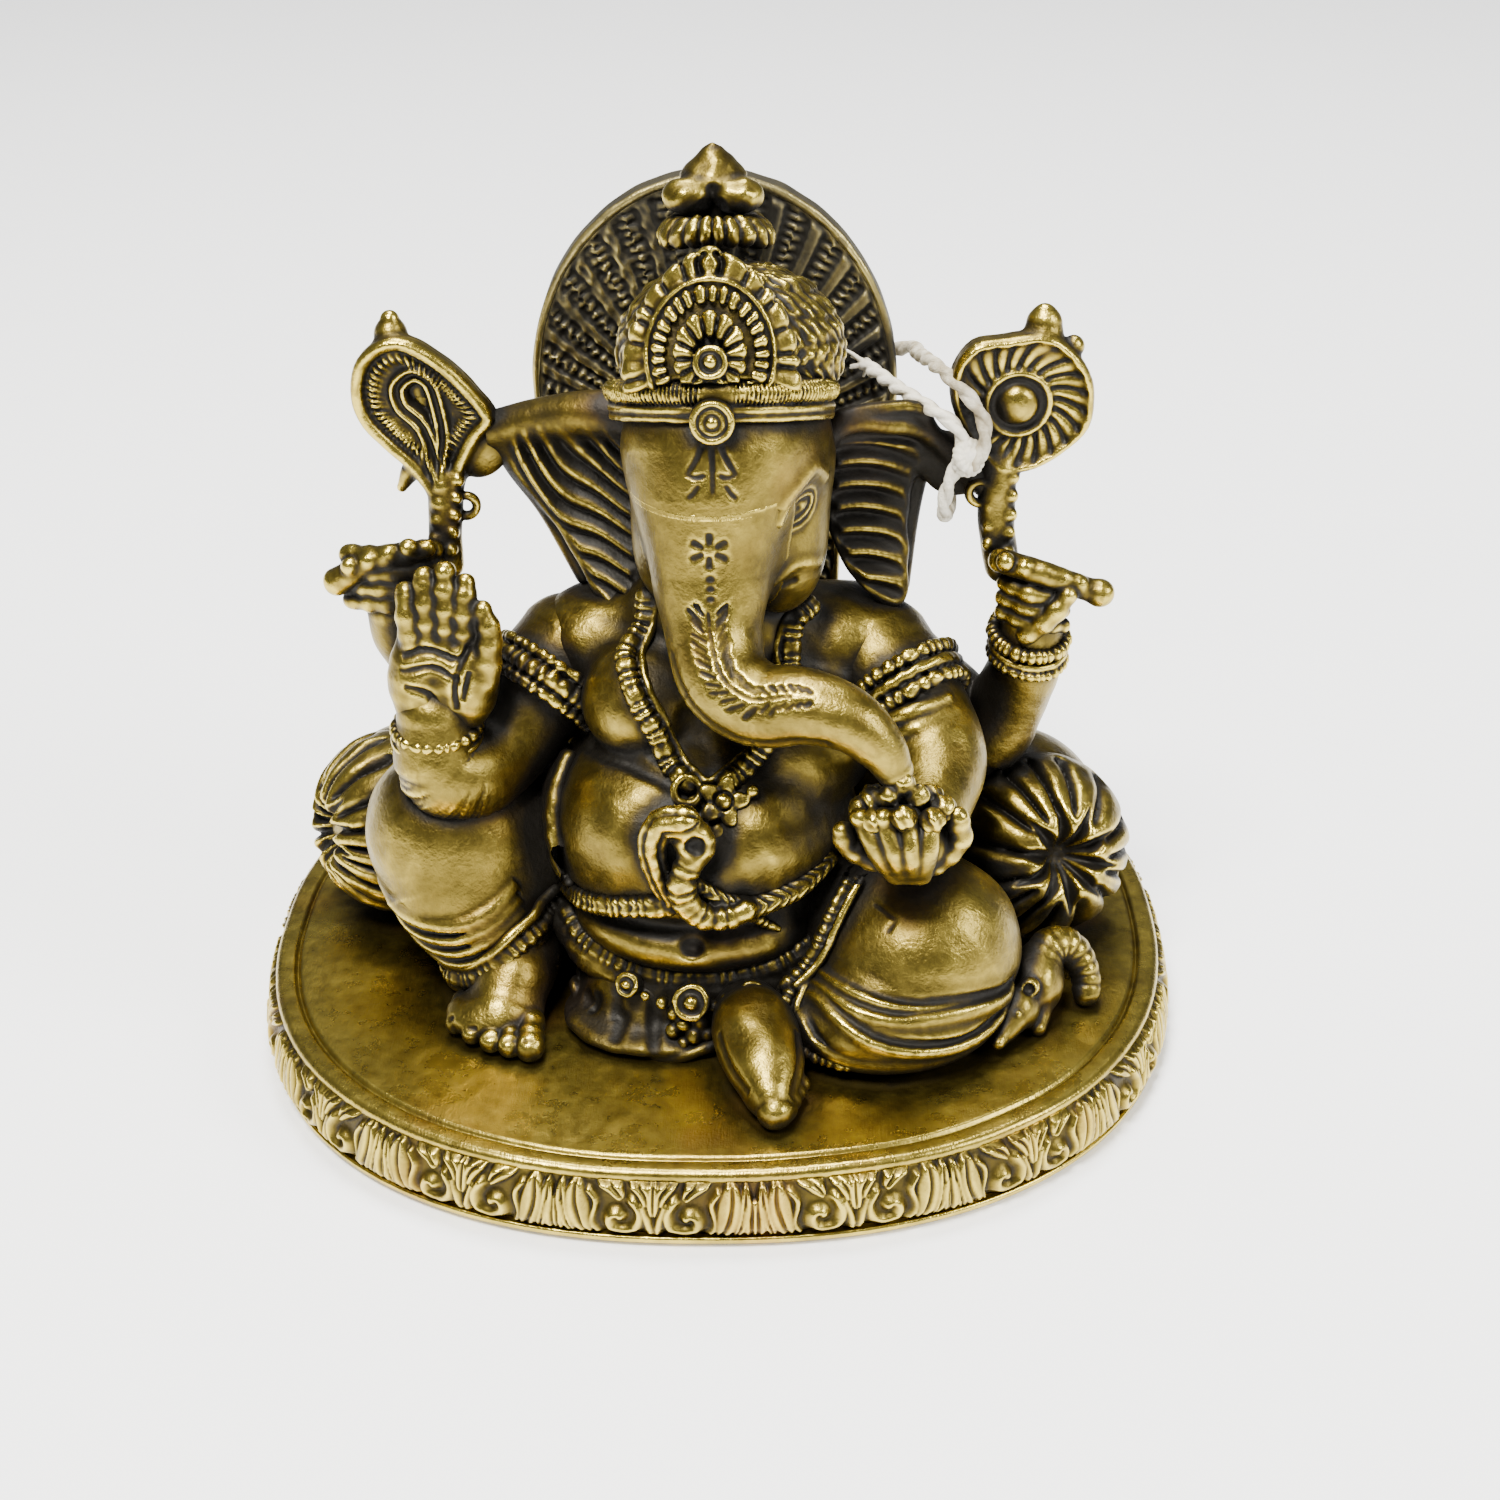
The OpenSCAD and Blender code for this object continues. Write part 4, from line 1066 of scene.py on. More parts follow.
def leaf_emblem(p):
    """A broad leaf with a thick rim, beads down one side and a hairpin ridge in the middle."""
    at = spot("leaf_emblem")
    q = local(p, at(0.3, 1.92, 4.07), turn(z=-4))
    u, v = q[0], q[2]
    w = -q[1] - 0.012 * (u * u + v * v)
    shape = [(-4.4, 8.6), (-7, 6.4), (-8.2, 2.6), (-7.6, -1.2), (-5.2, -4.4), (-2.2, -7.2), (0.6, -10.4),
             (3.4, -10.2), (4.8, -6.6), (6.6, -3.4), (8.6, -0.6), (6.4, 2.8), (4, 5.4), (1.2, 7.6),
             (-1.6, 9)]
    edge = outline(u, v, shape)
    d = plate(edge, w, 1.5, 0.7)
    front = w > -0.3
    rim = np.exp(-((edge + 0.7) / 0.65) ** 2)
    field_in = step(-edge, 1.2, 1.8)
    d = d + np.where(front, 0.75 * field_in - 0.35 * rim, 0)
    turnings = np.arctan2(v, u)
    band = np.exp(-((edge + 2.5) / 0.75) ** 2)
    d = d - np.where(front, 0.7 * band * wave(turnings * 8.5, 0.7), 0)
    drop = outline(u, v, [(-1, 5), (-3.4, 3), (-3, 0), (-0.6, -2.6), (1.4, -8.4), (2.8, -4),
                          (2.4, 0.6), (1.4, 4)])
    ridge = np.exp(-((drop) / 0.42) ** 2) + 0.8 * np.exp(-((drop + 1.25) / 0.36) ** 2)
    d = d - np.where(front, 0.8 * ridge, 0) + np.where(front, 0.7 * step(-drop, 1.6, 2.1), 0)
    # a web of metal to the ear, the stalk with a curl and beads, and the knob on top
    d = join(d, egg(p, at(6.7, 1.52, -0.53), (3.6, 1.5, 4.4), turn(y=30)), 1)
    d = join(d, limb(p, at(2.1, -1.88, -14.53, 2), at(2.1, -1.08, -9.93, 2), at(2.5, 0.72, -4.53, 2.2)),
             0.8)
    for i in range(5):
        d = bead(d, p, at(0.9, -3.08, -12.93) + (0.28 * i, 0.55 * i, 2.0 * i), 1.0)
        d = bead(d, p, at(2.9, -3.08, -12.13) + (0.28 * i, 0.55 * i, 2.0 * i), 0.8)
    curl, _ = ring(p, at(4.7, -0.48, -7.53), 1.3, 0.55, turn(x=90))
    d = join(d, curl, 0.3)
    d = join(d, limb(p, at(-3.1, 1.52, -5.93, 0.6), at(-1.5, 1.32, -3.53, 1.3), at(0.9, 1.52, -2.93, 1.3)),
             0.6)
    d = join(d, limb(p, at(-2.9, 2.52, 11.47, 2.3), at(-3.1, 2.92, 12.67, 2.0)), 0.6)
    d = join(d, limb(p, at(-3.1, 2.92, 13.47, 1.4), at(-3.1, 2.92, 14.47, 1.1)), 0.4)
    return d + 0.08 * unevenness(p, 4, 65)


def left_front_arm(p):
    at = spot("left_front_arm")
    d = limb(p, at(-4.15, 9.65, 3.76, 8), at(-1.15, 6.05, 1.76, 7), at(1.85, 2.05, -1.24, 6.2),
             at(2.85, -1.95, -4.24, 6.4),
             at(2.25, -7.95, -5.84, 5.2), at(0.45, -13.95, -6.64, 4.4))
    # small folds of cloth below the armlet
    for i in range(3):
        c = at(-4.15, -1.75, 1.16) + (0.8 * i, -1.0 * i, -1.5 * i)
        d = join(d, limb(p, [*c, 0.6], [*(c + (4, -0.8, 1.6)), 1.1], [*(c + (8.4, 1.6, 2.4)), 0.6]), 0.6)
    return d + 0.1 * unevenness(p, 7, 66)


def left_front_hand(p):
    at = spot("left_front_hand")
    d = egg(p, at(-0.8, 1.34, -1.64), (5.6, 4.8, 4.4))
    # the fingers fan up from the heel of the hand and bend over the sweets
    for i in range(4):
        out = 1.0 - 0.67 * i
        low = at(-0.6, -1.46, -4.64, 1.45) + (0.9 * out * 1.5, 0, 0, 0)
        mid = at(-1.4, -4.06, -0.64, 1.5) + (2.5 * out, 0.5 * out * out, 0, 0)
        tip = at(-2.2, -2.86, 3.36, 1.15) + (3.9 * out, 0.9 * out * out, -0.5 * out * out, 0)
        d = join(d, rod(p, [low, mid, tip], 5)[0], 0.25)
        d = bead(d, p, tip[:3] + (0, -0.3, 0.2), 1.25, 0.3)
    d = join(d, digit(p, [at(2.4, -0.26, -3.84, 1.7), at(5, -0.46, -1.04, 1.5), at(4.8, -0.86, 2.36, 1.3)],
                      2), 0.3)
    d = join(d, digit(p, [at(-4.4, -0.86, -3.24, 1.5), at(-7.4, -1.46, -1.24, 1.3),
                          at(-8.2, -1.46, 0.96, 1.2)], 1), 0.4)
    return d + 0.1 * unevenness(p, 3, 67)


def sweets(p):
    at = spot("sweets")
    d = np.full(p.shape[1], 1e3, "f4")
    for i in range(8):
        a = 2 * math.pi * i / 8
        c = at(-1.05, 0.2, -2.2) + (4.6 * math.cos(a), 2.9 * math.sin(a), 0.5 * math.sin(3 * a))
        d = bead(d, p, c, 1.5, 0.5)
    for dx, dy, dz in ((-1.5, -0.6, 2.2), (1.6, -0.4, 2.1), (0, 1.4, 2.2), (0, -0.3, 3.8), (-3.4, 0, 1.4)):
        d = bead(d, p, at(-1.05, 0.2, -2.4) + (dx, dy, dz), 1.4, 0.5)
    return d + 0.2 * unevenness(p, 1.4, 68)


def left_armlet(p):
    """Three bands round the arm, with a leafy crest on the outer side."""
    at = spot("left_armlet")
    axes = aim(0.5, -0.6, -0.62)
    d = np.full(p.shape[1], 1e3, "f4")
    for shift, size, ribs in ((-1.8, 0.9, 34), (0, 0.8, 0), (1.8, 1.0, 30)):
        c = at(-1.4, 0.6, 0.1) + axes @ (0, 0, shift)
        band = ribbed_ring(p, c, 7.5 - 0.15 * shift, size, axes, ribs, 0.32 if ribs else 0)
        d = join(d, band, 0.25)
    for i in range(5):
        angle = math.radians(-100 + 18 * i)
        c = at(-1.4, 0.6, 0.1) + axes @ (8.0 * math.cos(angle), 8.0 * math.sin(angle), -2.9)
        d = bead(d, p, c, 1.1, 0.5)
    return d + 0.14 * unevenness(p, 1.8, 73)


def left_rear_arm(p):
    at = spot("left_rear_arm")
    d = limb(p, at(-8, 1.39, 4.13, 7), at(0, 2.99, -2.87, 6), at(6, 1.79, -7.47, 5.2),
             at(9, -0.41, -0.47, 4.7),
             at(10.6, -3.21, 6.13, 4.2), at(11, -4.41, 13.13, 3.6))
    return d + 0.1 * unevenness(p, 6, 69)


def left_rear_hand(p):
    at = spot("left_rear_hand")
    d = egg(p, at(-1.55, 0.4, -0.75), (3.8, 3.2, 5))
    # a beaded ridge of finger ends, a knob at the outer end, and the thumb in front
    d = join(d, limb(p, at(-5.75, -0.6, 5.45, 1.5), at(-0.55, -2, 4.25, 1.5), at(5.05, -1.4, 1.85, 1.4)),
             0.6)
    for i in range(5):
        d = bead(d, p, at(-5.35, -2, 6.05) + (2.2 * i, -0.2, -0.72 * i), 1.15)
    d = bead(d, p, at(6.05, -1.6, 1.65), 1.7)
    for i in range(3):
        row = [at(-5.15, -0.4, 2.45, 1.1) + (0, 0, -1.9 * i, 0),
               at(-1.75, -2.6, 1.85, 1.2) + (0, 0, -1.9 * i, 0),
               at(1.85, -0.8, 0.85, 1.0) + (0, 0, -1.9 * i, 0)]
        d = join(d, digit(p, row, i), 0.3)
    thumb = digit(p, [at(-2.55, -2.6, -3.35, 1.3), at(0.25, -3.4, -0.35, 1.35), at(2.05, -3, 2.05, 1.15)],
                  1)
    return join(d, thumb, 0.3) + 0.06 * unevenness(p, 3, 70)


def left_bracelet(p):
    at = spot("left_bracelet")
    axes = turn(x=14, y=8)
    d = ribbed_ring(p, at(-0.2, 0, 0.6), 4.3, 0.95, axes, 32, 0.35)
    d = join(d, ring(p, at(-0.3, 0.2, -1), 4.4, 0.5, axes)[0], 0.2)
    d = join(d, ribbed_ring(p, at(-0.3, 0.2, -2), 4.5, 0.7, axes, 32, 0.3), 0.2)
    return d + 0.1 * unevenness(p, 2, 74)


def disc_emblem(p):
    """A disc with a domed boss and raised pleats out to a scalloped edge."""
    at = spot("disc_emblem")
    q = local(p, at(0, 1.35, 4.88), turn(z=5))
    u, v = q[0], q[2]
    r, a = np.hypot(u, v), np.arctan2(v, u)
    w = -q[1] - 0.01 * r * r
    shape = [(-7.6, 4.4), (-5.4, 7.4), (-1.4, 8), (3.4, 8.2), (7, 5.4), (8.8, 1.6), (8.4, -3.2),
             (5.4, -6.4), (1.4, -8.4), (-2.4, -8), (-5.6, -4.4), (-7.6, 0)]
    edge = outline(u, v, shape)
    d = plate(edge, w, 1.5, 0.7)
    front = w > -0.3
    pleats = 0.5 * (1 - wave(a * 3.4 + 0.25 * r, 0.8)) * step(r, 3.9, 4.6) * step(-edge, 0.5, 1.4)
    d = d + np.where(front, pleats, 0)
    d = d - np.where(front, 0.45 * np.exp(-((r - 3.7) / 0.5) ** 2), 0)
    d = d - np.where(front, 0.4 * np.exp(-((edge + 0.6) / 0.5) ** 2), 0)
    d = join(d, egg(p, at(0, -0.05, 4.88), (2.5, 1.8, 2.5)), 0.4)
    # the neck with beads and leaf curls
    d = join(d, limb(p, at(-1.1, -1.05, -15.32, 2.1), at(-1.9, -0.65, -9.92, 2.2),
                     at(-1.9, 0.55, -3.32, 2.3)), 0.8)
    for i in range(5):
        d = bead(d, p, at(-0.7, -2.65, -12.92) + (0.1 * i, 0.5 * i, 2.2 * i), 0.95)
        d = bead(d, p, at(-2.9, -2.45, -11.92) + (0.1 * i, 0.5 * i, 2.2 * i), 0.8)
    curl, _ = ring(p, at(-3.9, -1.05, -5.92), 1.4, 0.55, turn(x=90))
    d = join(d, curl, 0.3)
    d = join(d, limb(p, at(2.9, 1.95, 12.08, 2.5), at(3, 2.35, 13.68, 2.1)), 0.6)
    d = join(d, limb(p, at(3, 2.35, 14.08, 1.5), at(3, 2.35, 14.88, 1.2)), 0.4)
    d = join(d, limb(p, at(5.7, 1.95, 10.08, 1.2), at(6.5, 1.95, 11.08, 1.3)), 0.6)
    return d + 0.08 * unevenness(p, 4, 71)


# ---------------------------------------------------------------- legs, feet and the mouse

def right_leg_form(p):
    at = spot("right_leg")
    thigh = limb(p, at(10.17, 5.38, -4.5, 10), at(0.17, 2.38, 0.5, 10), at(-9.83, -2.02, 3.9, 10))
    shin = limb(p, at(-9.83, -2.02, 3.9, 9.6), at(-8.83, -5.02, -1.5, 9), at(-5.43, -7.62, -6.5, 7.6),
                at(-3.23, -8.62, -9.1, 6.4))
    d = join(thigh, shin, 4)
    return join(d, egg(p, at(-10.43, -2.62, 4.5), (9.4, 9, 9.6)), 2)


@lru_cache(None)
def right_leg_folds():
    """Folds that sag across the shin below the knee: ridges and the grooves between them."""
    at = spot("right_leg")
    strokes = []
    for i in range(5):
        t = i / 4
        way = laid(right_leg_form, at(-17.23, -4.62, -1.3) + (1.6 * t, -1.0 * t, -9 * t),
                   at(-12.83, -10.02, -2.9) + (1.4 * t, -1.4 * t, -8 * t),
                   at(-7.23, -13.62, -2.5) + (0.8 * t, -0.4 * t, -6.6 * t),
                   at(-0.43, -11.62, 1.5) + (0.4 * t, 0, -7 * t))
        strokes.append((way, 0.8, -1.2, 0.3))
        strokes.append((way - (0, 0, 1.1), 0.5, 1.1, 0.3))
    return strokes


def right_leg(p):
    d = right_leg_form(p)
    for stroke in right_leg_folds():
        d = carve(d, p, *stroke)
    return d + 0.12 * unevenness(p, 7, 81)


def right_leg_hem(p):
    at = spot("right_leg_hem")
    way = laid(right_leg_form, at(-7.05, -1.2, -9.84), at(-5.05, -5.2, -9.64), at(-1.85, -7.8, -8.24),
               at(2.75, -7.6, -4.84), at(6.35, -4.8, -2.04), at(9.15, -0.2, -0.44), above=0.4)
    d = ribbed(p, way, (0.8, 1.35, 1.35, 1.0), 1.2, 0.36, 0.2)
    for lift, size in ((1.9, 0.7), (-1.7, 0.6)):
        edge = limb(p, *thick(way + (-0.2 * lift, -0.1, lift), size)[::2], steps=2)
        d = join(d, edge, 0.5)
    return d + 0.12 * unevenness(p, 4, 82)


def right_foot(p):
    at = spot("right_foot")
    d = limb(p, at(1.55, 5.66, 0.83, 5.6), at(1.15, 0.86, -0.37, 5), at(0.15, -3.34, -2.17, 3.2))
    d = join(d, egg(p, at(-0.65, -2.94, -2.77), (6, 4.6, 2.6)), 2)
    for i in range(5):
        x = -21.6 - 2.4 * i
        y = -26.6 + 0.3 * i * i
        size = (1.7, 1.35, 1.3, 1.2, 1.1)[i]
        toe = digit(p, [at(25.75, 17.66, -2.77, size) + (x * 0.94 - 1.5, y + 4, 0, 0),
                        at(25.75, 17.66, -3.27, size) + (x, y, 0, 0)], 1)
        toe = bead(toe, p, at(25.75, 17.66, -3.47) + (x, y - 0.3, 0), size + 0.1, 0.5)
        d = join(d, toe, 0.3)
        d = carve(d, p, [at(25.75, 17.66, -2.37) + (x - 0.4, y - 0.9, 0.2),
                         at(25.75, 17.66, -2.37) + (x + 0.4, y - 0.9, 0.2)], 0.35, 0.25)
    return d + 0.07 * unevenness(p, 4, 83)


def right_anklet(p):
    at = spot("right_anklet")
    d = ribbed_ring(p, at(0, 0.5, -0.2), 5.0, 0.8, turn(x=50, y=10), 26, 0.5)
    return d


def left_leg_form(p):
    at = spot("left_leg")
    thigh = limb(p, at(-7, 10.76, -0.2, 10), at(0, 1.76, 0.8, 10.2), at(7, -4.84, 0.2, 10))
    shin = limb(p, at(7, -4.84, -0.2, 9.4), at(1, -11.84, -4.2, 6.4))
    d = join(thigh, shin, 5)
    d = join(d, egg(p, at(5.6, -3.24, -1), (12.6, 12, 10)), 3)
    return join(d, egg(p, at(2, -9.64, -5.2), (14, 10.8, 5.6)), 3)


@lru_cache(None)
def left_leg_folds():
    """Long folds from the hem round to the outside of the knee, and a chisel mark above."""
    at = spot("left_leg")
    strokes = []
    for i in range(6):
        t = i / 5
        way = laid(left_leg_form, at(-6.2, -10.64, 0.4) + (-1.4 * t, -5.2 * t, -8 * t),
                   at(-1.6, -14.24, -1.2) + (-1.2 * t, -5 * t, -7.8 * t),
                   at(4, -16.04, -2.4) + (-0.5 * t, -3.6 * t, -6.8 * t),
                   at(10.6, -13.84, -3) + (0.4 * t, -1.6 * t, -6 * t),
                   at(15.8, -8.24, -2.6) + (0.8 * t, -0.4 * t, -5.6 * t))
        strokes.append((way, 0.75, -1.15, 0.3))
        strokes.append((way + (0, 0.3, 1.0), 0.45, 0.9, 0.3))
    mark = laid(left_leg_form, at(1.4, -7.84, 6.8), at(4.4, -9.84, 5.2))
    strokes.append((mark, 0.26, 0.25, 1.0))
    mark = laid(left_leg_form, at(4.2, -9.64, 5.2), at(3.2, -10.44, 4.2))
    strokes.append((mark, 0.26, 0.25, 1.0))
    return strokes


def left_leg(p):
    d = left_leg_form(p)
    for stroke in left_leg_folds():
        d = carve(d, p, *stroke)
    return d + 0.12 * unevenness(p, 8, 84)


def left_leg_hem(p):
    """A ribbed border over the thigh, and a beaded one down to the deck."""
    at = spot("left_leg_hem")
    top = laid(left_leg_form, at(-0.79, 7.55, 9.95), at(-1.99, 4.55, 7.35), at(-4.39, 1.75, 5.15),
               at(-7.69, -0.25, 2.55), at(-10.79, -1.85, 0.35), above=0.3)
    low = laid(left_leg_form, at(-9.99, -2.45, -0.05), at(-10.59, -4.45, -2.05), at(-9.79, -7.45, -5.05),
               at(-7.69, -9.85, -6.65), at(-4.39, -11.45, -7.15), above=0.3)
    d = ribbed(p, top, (1.3,), 1.15, 0.36, 0.25)
    d = join(d, ribbed(p, low, (0.9, 0.9, 0.7), 1.05, 0.4), 0.3)
    for way, off in ((top, (0.9, -1.3, 1.0)), (top, (-1.0, 1.2, -1.2)), (low, (1.7, -0.2, 0.9))):
        d = join(d, limb(p, *thick(way + off, 0.5)[::2], steps=2), 0.4)
    return d + 0.12 * unevenness(p, 2.2, 87)


def left_foot(p):
    """The sole turned up: a long bean with a bulge at the ankle and a groove down its side."""
    at = spot("left_foot")
    d = limb(p, at(-1.34, 8.06, 0.01, 4.4), at(-0.34, 4.06, 0.21, 5.2), at(0.86, -1.34, -0.59, 4.7),
             at(1.66, -5.94, -1.79, 3.2), at(2.06, -7.94, -2.39, 2.2))
    d = join(d, egg(p, at(-0.74, 3.46, 1.81), (3.8, 4.4, 3.8)), 1.2)
    form = left_foot_sole
    d = carve(d, p, laid(form, at(-3.74, 1.66, 1.61), at(-2.54, -2.54, 0.21), at(0.06, -6.34, -0.99)), 0.6,
              0.55, 0.4)
    d = carve(d, p, laid(form, at(3.46, 1.26, 1.61), at(3.86, -2.94, 0.21), at(3.06, -6.94, -1.39)), 0.7,
              0.8, 0.4)
    for i in range(4):
        d = bead(d, p, at(5.06, -2.74, -2.39) + (-0.5 * i, -1.5 * i, -0.15 * i), 1.1, 0.6)
    return d + 0.1 * unevenness(p, 4, 85)


def left_foot_sole(p):
    at = spot("left_foot")
    return limb(p, at(-1.34, 8.06, 0.01, 4.4), at(-0.34, 4.06, 0.21, 5.2), at(0.86, -1.34, -0.59, 4.7),
                at(1.66, -5.94, -1.79, 3.2), at(2.06, -7.94, -2.39, 2.2))


def mouse(p):
    """The mouse crouches by the knee, its back arched up and its head down in front."""
    at = spot("mouse")
    d = egg(p, at(-0.95, 0.92, -0.99), (3.4, 4.2, 3.9))
    arch, s, _ = rod(p, [at(-1.15, 0.92, 0.01, 2.6), at(0.65, 3.72, 2.01, 2.5), at(3.25, 4.72, 1.61, 2.3),
                             at(5.25, 3.52, -1.19, 2.0), at(5.45, 1.92, -3.39, 1.7)], 4)
    d = join(d, arch + 0.14 * (1 - wave(s / 1.3, 0.8)) * step(s, 1, 3), 1.0)
    d = join(d, egg(p, at(-3.75, -3.88, -1.49), (2.9, 3.4, 2.8), turn(z=-25)), 1.0)
    d = join(d, limb(p, at(-4.75, -6.08, -2.19, 1.9), at(-5.85, -8.28, -2.99, 1.1)), 0.8)
    d = bead(d, p, at(-6.15, -8.98, -3.09), 0.8, 0.3)
    for x, y, z in ((35.2, -20.2, 5.9), (38.6, -20.8, 6)):
        d = bead(d, p, at(-40.75, 17.52, -4.99) + (x, y, z), 1.3, 0.3)
        d = pit(d, p, at(-40.75, 17.52, -4.99) + (x - 0.2, y - 1.1, z + 0.5), 0.8, 0.2)
    for x, y in ((35, -23.4), (37, -24.2)):
        d = bead(d, p, at(-40.75, 17.52, -0.39) + (x, y, 0), 0.5, 0.2)
    for side in (-1, 1):
        d = join(d, limb(p, at(-2.35, -1.48, -2.59, 1.4) + (2 * side, 0, 0, 0),
                         at(-2.95, -4.48, -3.99, 1.0) + (2 * side, 0, 0, 0)), 0.6)
    return d + 0.12 * unevenness(p, 2.8, 86)


# ---------------------------------------------------------------- the bolster

def bolster(p):
    at = spot("bolster")
    d = limb(p, at(-38.5, -5.9, 0, 12), at(-23.5, 4.5, 0, 12), at(0.5, 7.5, 0, 12), at(24.5, 3.5, 0, 12),
             at(38.5, -7.9, 0, 12))
    return d + 0.15 * unevenness(p, 12, 91)


def gathered(p, middle, axes, radius, arms, twist, seed):
    """A cushion end: cloth drawn into a star of deep arms, with long flutes further out."""
    q = local(p, middle, axes)
    r, a = np.hypot(q[0], q[1]), np.arctan2(q[1], q[0]) + twist
    near = length(q / np.array([[radius], [radius], [radius * 0.92]], "f4"))
    d = (near - 1) * radius * 0.95
    front = step(q[2], 0, 3)
    off = np.abs(((a * arms / (2 * np.pi) + 0.5) % 1) - 0.5) * 2 * np.pi / arms * r
    half = 1.15 * np.clip(1 - r / (radius * 0.56), 0, 1) + 0.05
    star = np.exp(-(off / (half + 0.25)) ** 2) * np.clip(1.25 - r / (radius * 0.5), 0, 1)
    centre = np.exp(-(r / (radius * 0.2)) ** 2)
    flutes = 1 - wave(a * arms * 1.5 / (2 * np.pi) * 1.0 + 0.25 * np.sin(3 * a), 0.9)
    belt = step(r, radius * 0.42, radius * 0.55) * (1 - step(r, radius * 0.94, radius * 1.0))
    return d + front * (3.0 * star + 2.2 * centre + 1.5 * belt * flutes ** 1.7) \
        + 0.14 * unevenness(p, 4, seed)


def bolster_left_end(p):
    at = spot("bolster_left_end")
    return gathered(p, at(0, 0.6, 0), turn(x=72, z=20), 12, 10, 0.3, 92)


def bolster_right_end(p):
    at = spot("bolster_right_end")
    return gathered(p, at(0, 0, 0), turn(x=84, z=-62), 12, 12, 0.0, 93)


# ---------------------------------------------------------------- the base

SQUARENESS = 2.3            # of the oval: 2 would be an ellipse
MOTIFS = 16
DECK_SIDES = 540
EDGE_SIDES = 720
WALL_SIDES = 130 * MOTIFS
WALL_ROWS = 54
WALL_SLOPE = 0.9            # how far the wall leans in towards its top


def oval(angles, inset):
    """The oval of the base, some way in from its widest line."""
    lo, hi = corners("base_frieze")
    half = (hi - lo) / 2 - inset
    c, s = np.cos(angles), np.sin(angles)
    r = (np.abs(c / half[0]) ** SQUARENESS + np.abs(s / half[1]) ** SQUARENESS) ** (-1 / SQUARENESS)
    middle = (lo + hi) / 2
    return np.stack([middle[0] + r * c, middle[1] + r * s], 1)


def lofted(rings):
    """Points and quads of closed rings, each joined to the next and the last to the first."""
    rings = np.asarray(rings)
    n, m = rings.shape[:2]
    i = np.arange(n * m).reshape(n, m)
    quads = np.stack([i, np.roll(i, -1, 1), np.roll(np.roll(i, -1, 1), -1, 0), np.roll(i, -1, 0)], -1)
    return rings.reshape(-1, 3), quads.reshape(-1, 4)


def turned(profile, sides):
    """Rings of the oval through a closed profile of (inset, height), in millimetres."""
    angles = np.linspace(0, 2 * np.pi, sides, endpoint=False)
    rows = []
    for inset, z in profile:
        xy = oval(angles, inset)
        rows.append(np.column_stack([xy, np.full(sides, z)]))
    return lofted(rows[::-1])


def base_deck():
    """The deck: a slightly uneven plate with a rounded rim and an engraved line inside it."""
    top = corners("base_deck")[1][2]
    under = corners("base_deck")[0][2]
    half = (corners("base_frieze")[1] - corners("base_frieze")[0])[1] / 2
    profile = [(1.7 + 0.9 * (1 - math.cos(a)), top - 0.9 + 0.9 * math.sin(a))
               for a in np.linspace(-0.6, math.pi / 2, 9)]
    for inset in np.linspace(0.1, 4, 40):
        line = 0.5 * math.exp(-((inset - 1.15) / 0.3) ** 2)
        profile.append((3.4 + inset, top - line - 0.1 * min(inset, 1)))
    profile += [(7.6 + (half - 8.2) * t, top - 0.1) for t in np.linspace(0.02, 1, 70) ** 0.9]
    profile += [(half - 0.8, under), (8, under), (3.6, under)]
    points, quads = turned(profile, DECK_SIDES)
    wave_up = 0.12 * unevenness(points.T.astype("f4"), 16, 101)
    hammered = 0.03 * unevenness(points.T.astype("f4"), 3, 102)
    inside = points[:, 2] > under + 1
    points[:, 2] += np.where(inside, wave_up + hammered, 0)
    return points, quads


def motif_relief(u, v):
    """Height, from 0 to 1, of one motif: u runs along the wall from its middle, v up the wall."""
    h = np.zeros_like(u)

    def raised(points, width, height):
        nonlocal h
        h = np.maximum(h, -carve(np.zeros_like(h), np.stack([u, v]), bent(*points), width, -height, 0.0))

    def leaf(start, tip, width, bow=0.0):
        nonlocal h
        start, tip = np.array(start, float), np.array(tip, float)
        along = tip - start
        size = np.hypot(*along)
        t = ((u - start[0]) * along[0] + (v - start[1]) * along[1]) / size ** 2
        across = ((u - start[0]) * -along[1] + (v - start[1]) * along[0]) / size
        off = across - bow * np.sin(np.pi * np.clip(t, 0, 1))
        half = width * np.clip(4 * t * (1 - t), 0, 1) ** 0.7 + 1e-3
        inside = np.clip(1 - (np.abs(off) / half) ** 4, 0, 1) * ((t > 0) & (t < 1))
        vein = 0.5 * np.exp(-(off / (0.15 * width)) ** 2)
        h = np.maximum(h, inside * (1 - vein))

    for side in (-1, 1):
        # a big scroll with an eye, a stem into it, and leaves standing over and beside it
        turns = [(side * (3.9 + (2.75 - 0.24 * i) * math.cos(0.6 * i + 2.2)),
                  -0.9 + (2.75 - 0.24 * i) * math.sin(0.6 * i + 2.2)) for i in range(11)]
        raised(turns, 0.72, 1.0)
        raised([(side * 0.3, -3.7), (side * 0.6, -1.6), (side * 1.3, 0.8)], 0.6, 0.9)
        leaf((side * 0.6, 0.8), (side * 2.8, 4), 1.1, side * 0.6)
        leaf((side * 3.4, 1.6), (side * 6.6, 3.9), 1.2, side * 0.5)
        raised([(side * 6.2, -3.6), (side * 7.1, -1.6), (side * 6.6, 0.9), (side * 7.4, 2.4)], 0.45, 0.8)
        leaf((side * 7.4, -3.8), (side * 8.9, 3.9), 1.9, -side * 0.7)
        leaf((side * 9.2, -3.8), (side * 10.6, 3.6), 1.0, -side * 0.4)
    leaf((0, -0.6), (0, 4), 1.0)
    leaf((-11.1, -3.6), (-11.1, 1.6), 1.6)
    leaf((11.1, -3.6), (11.1, 1.6), 1.6)
    return h


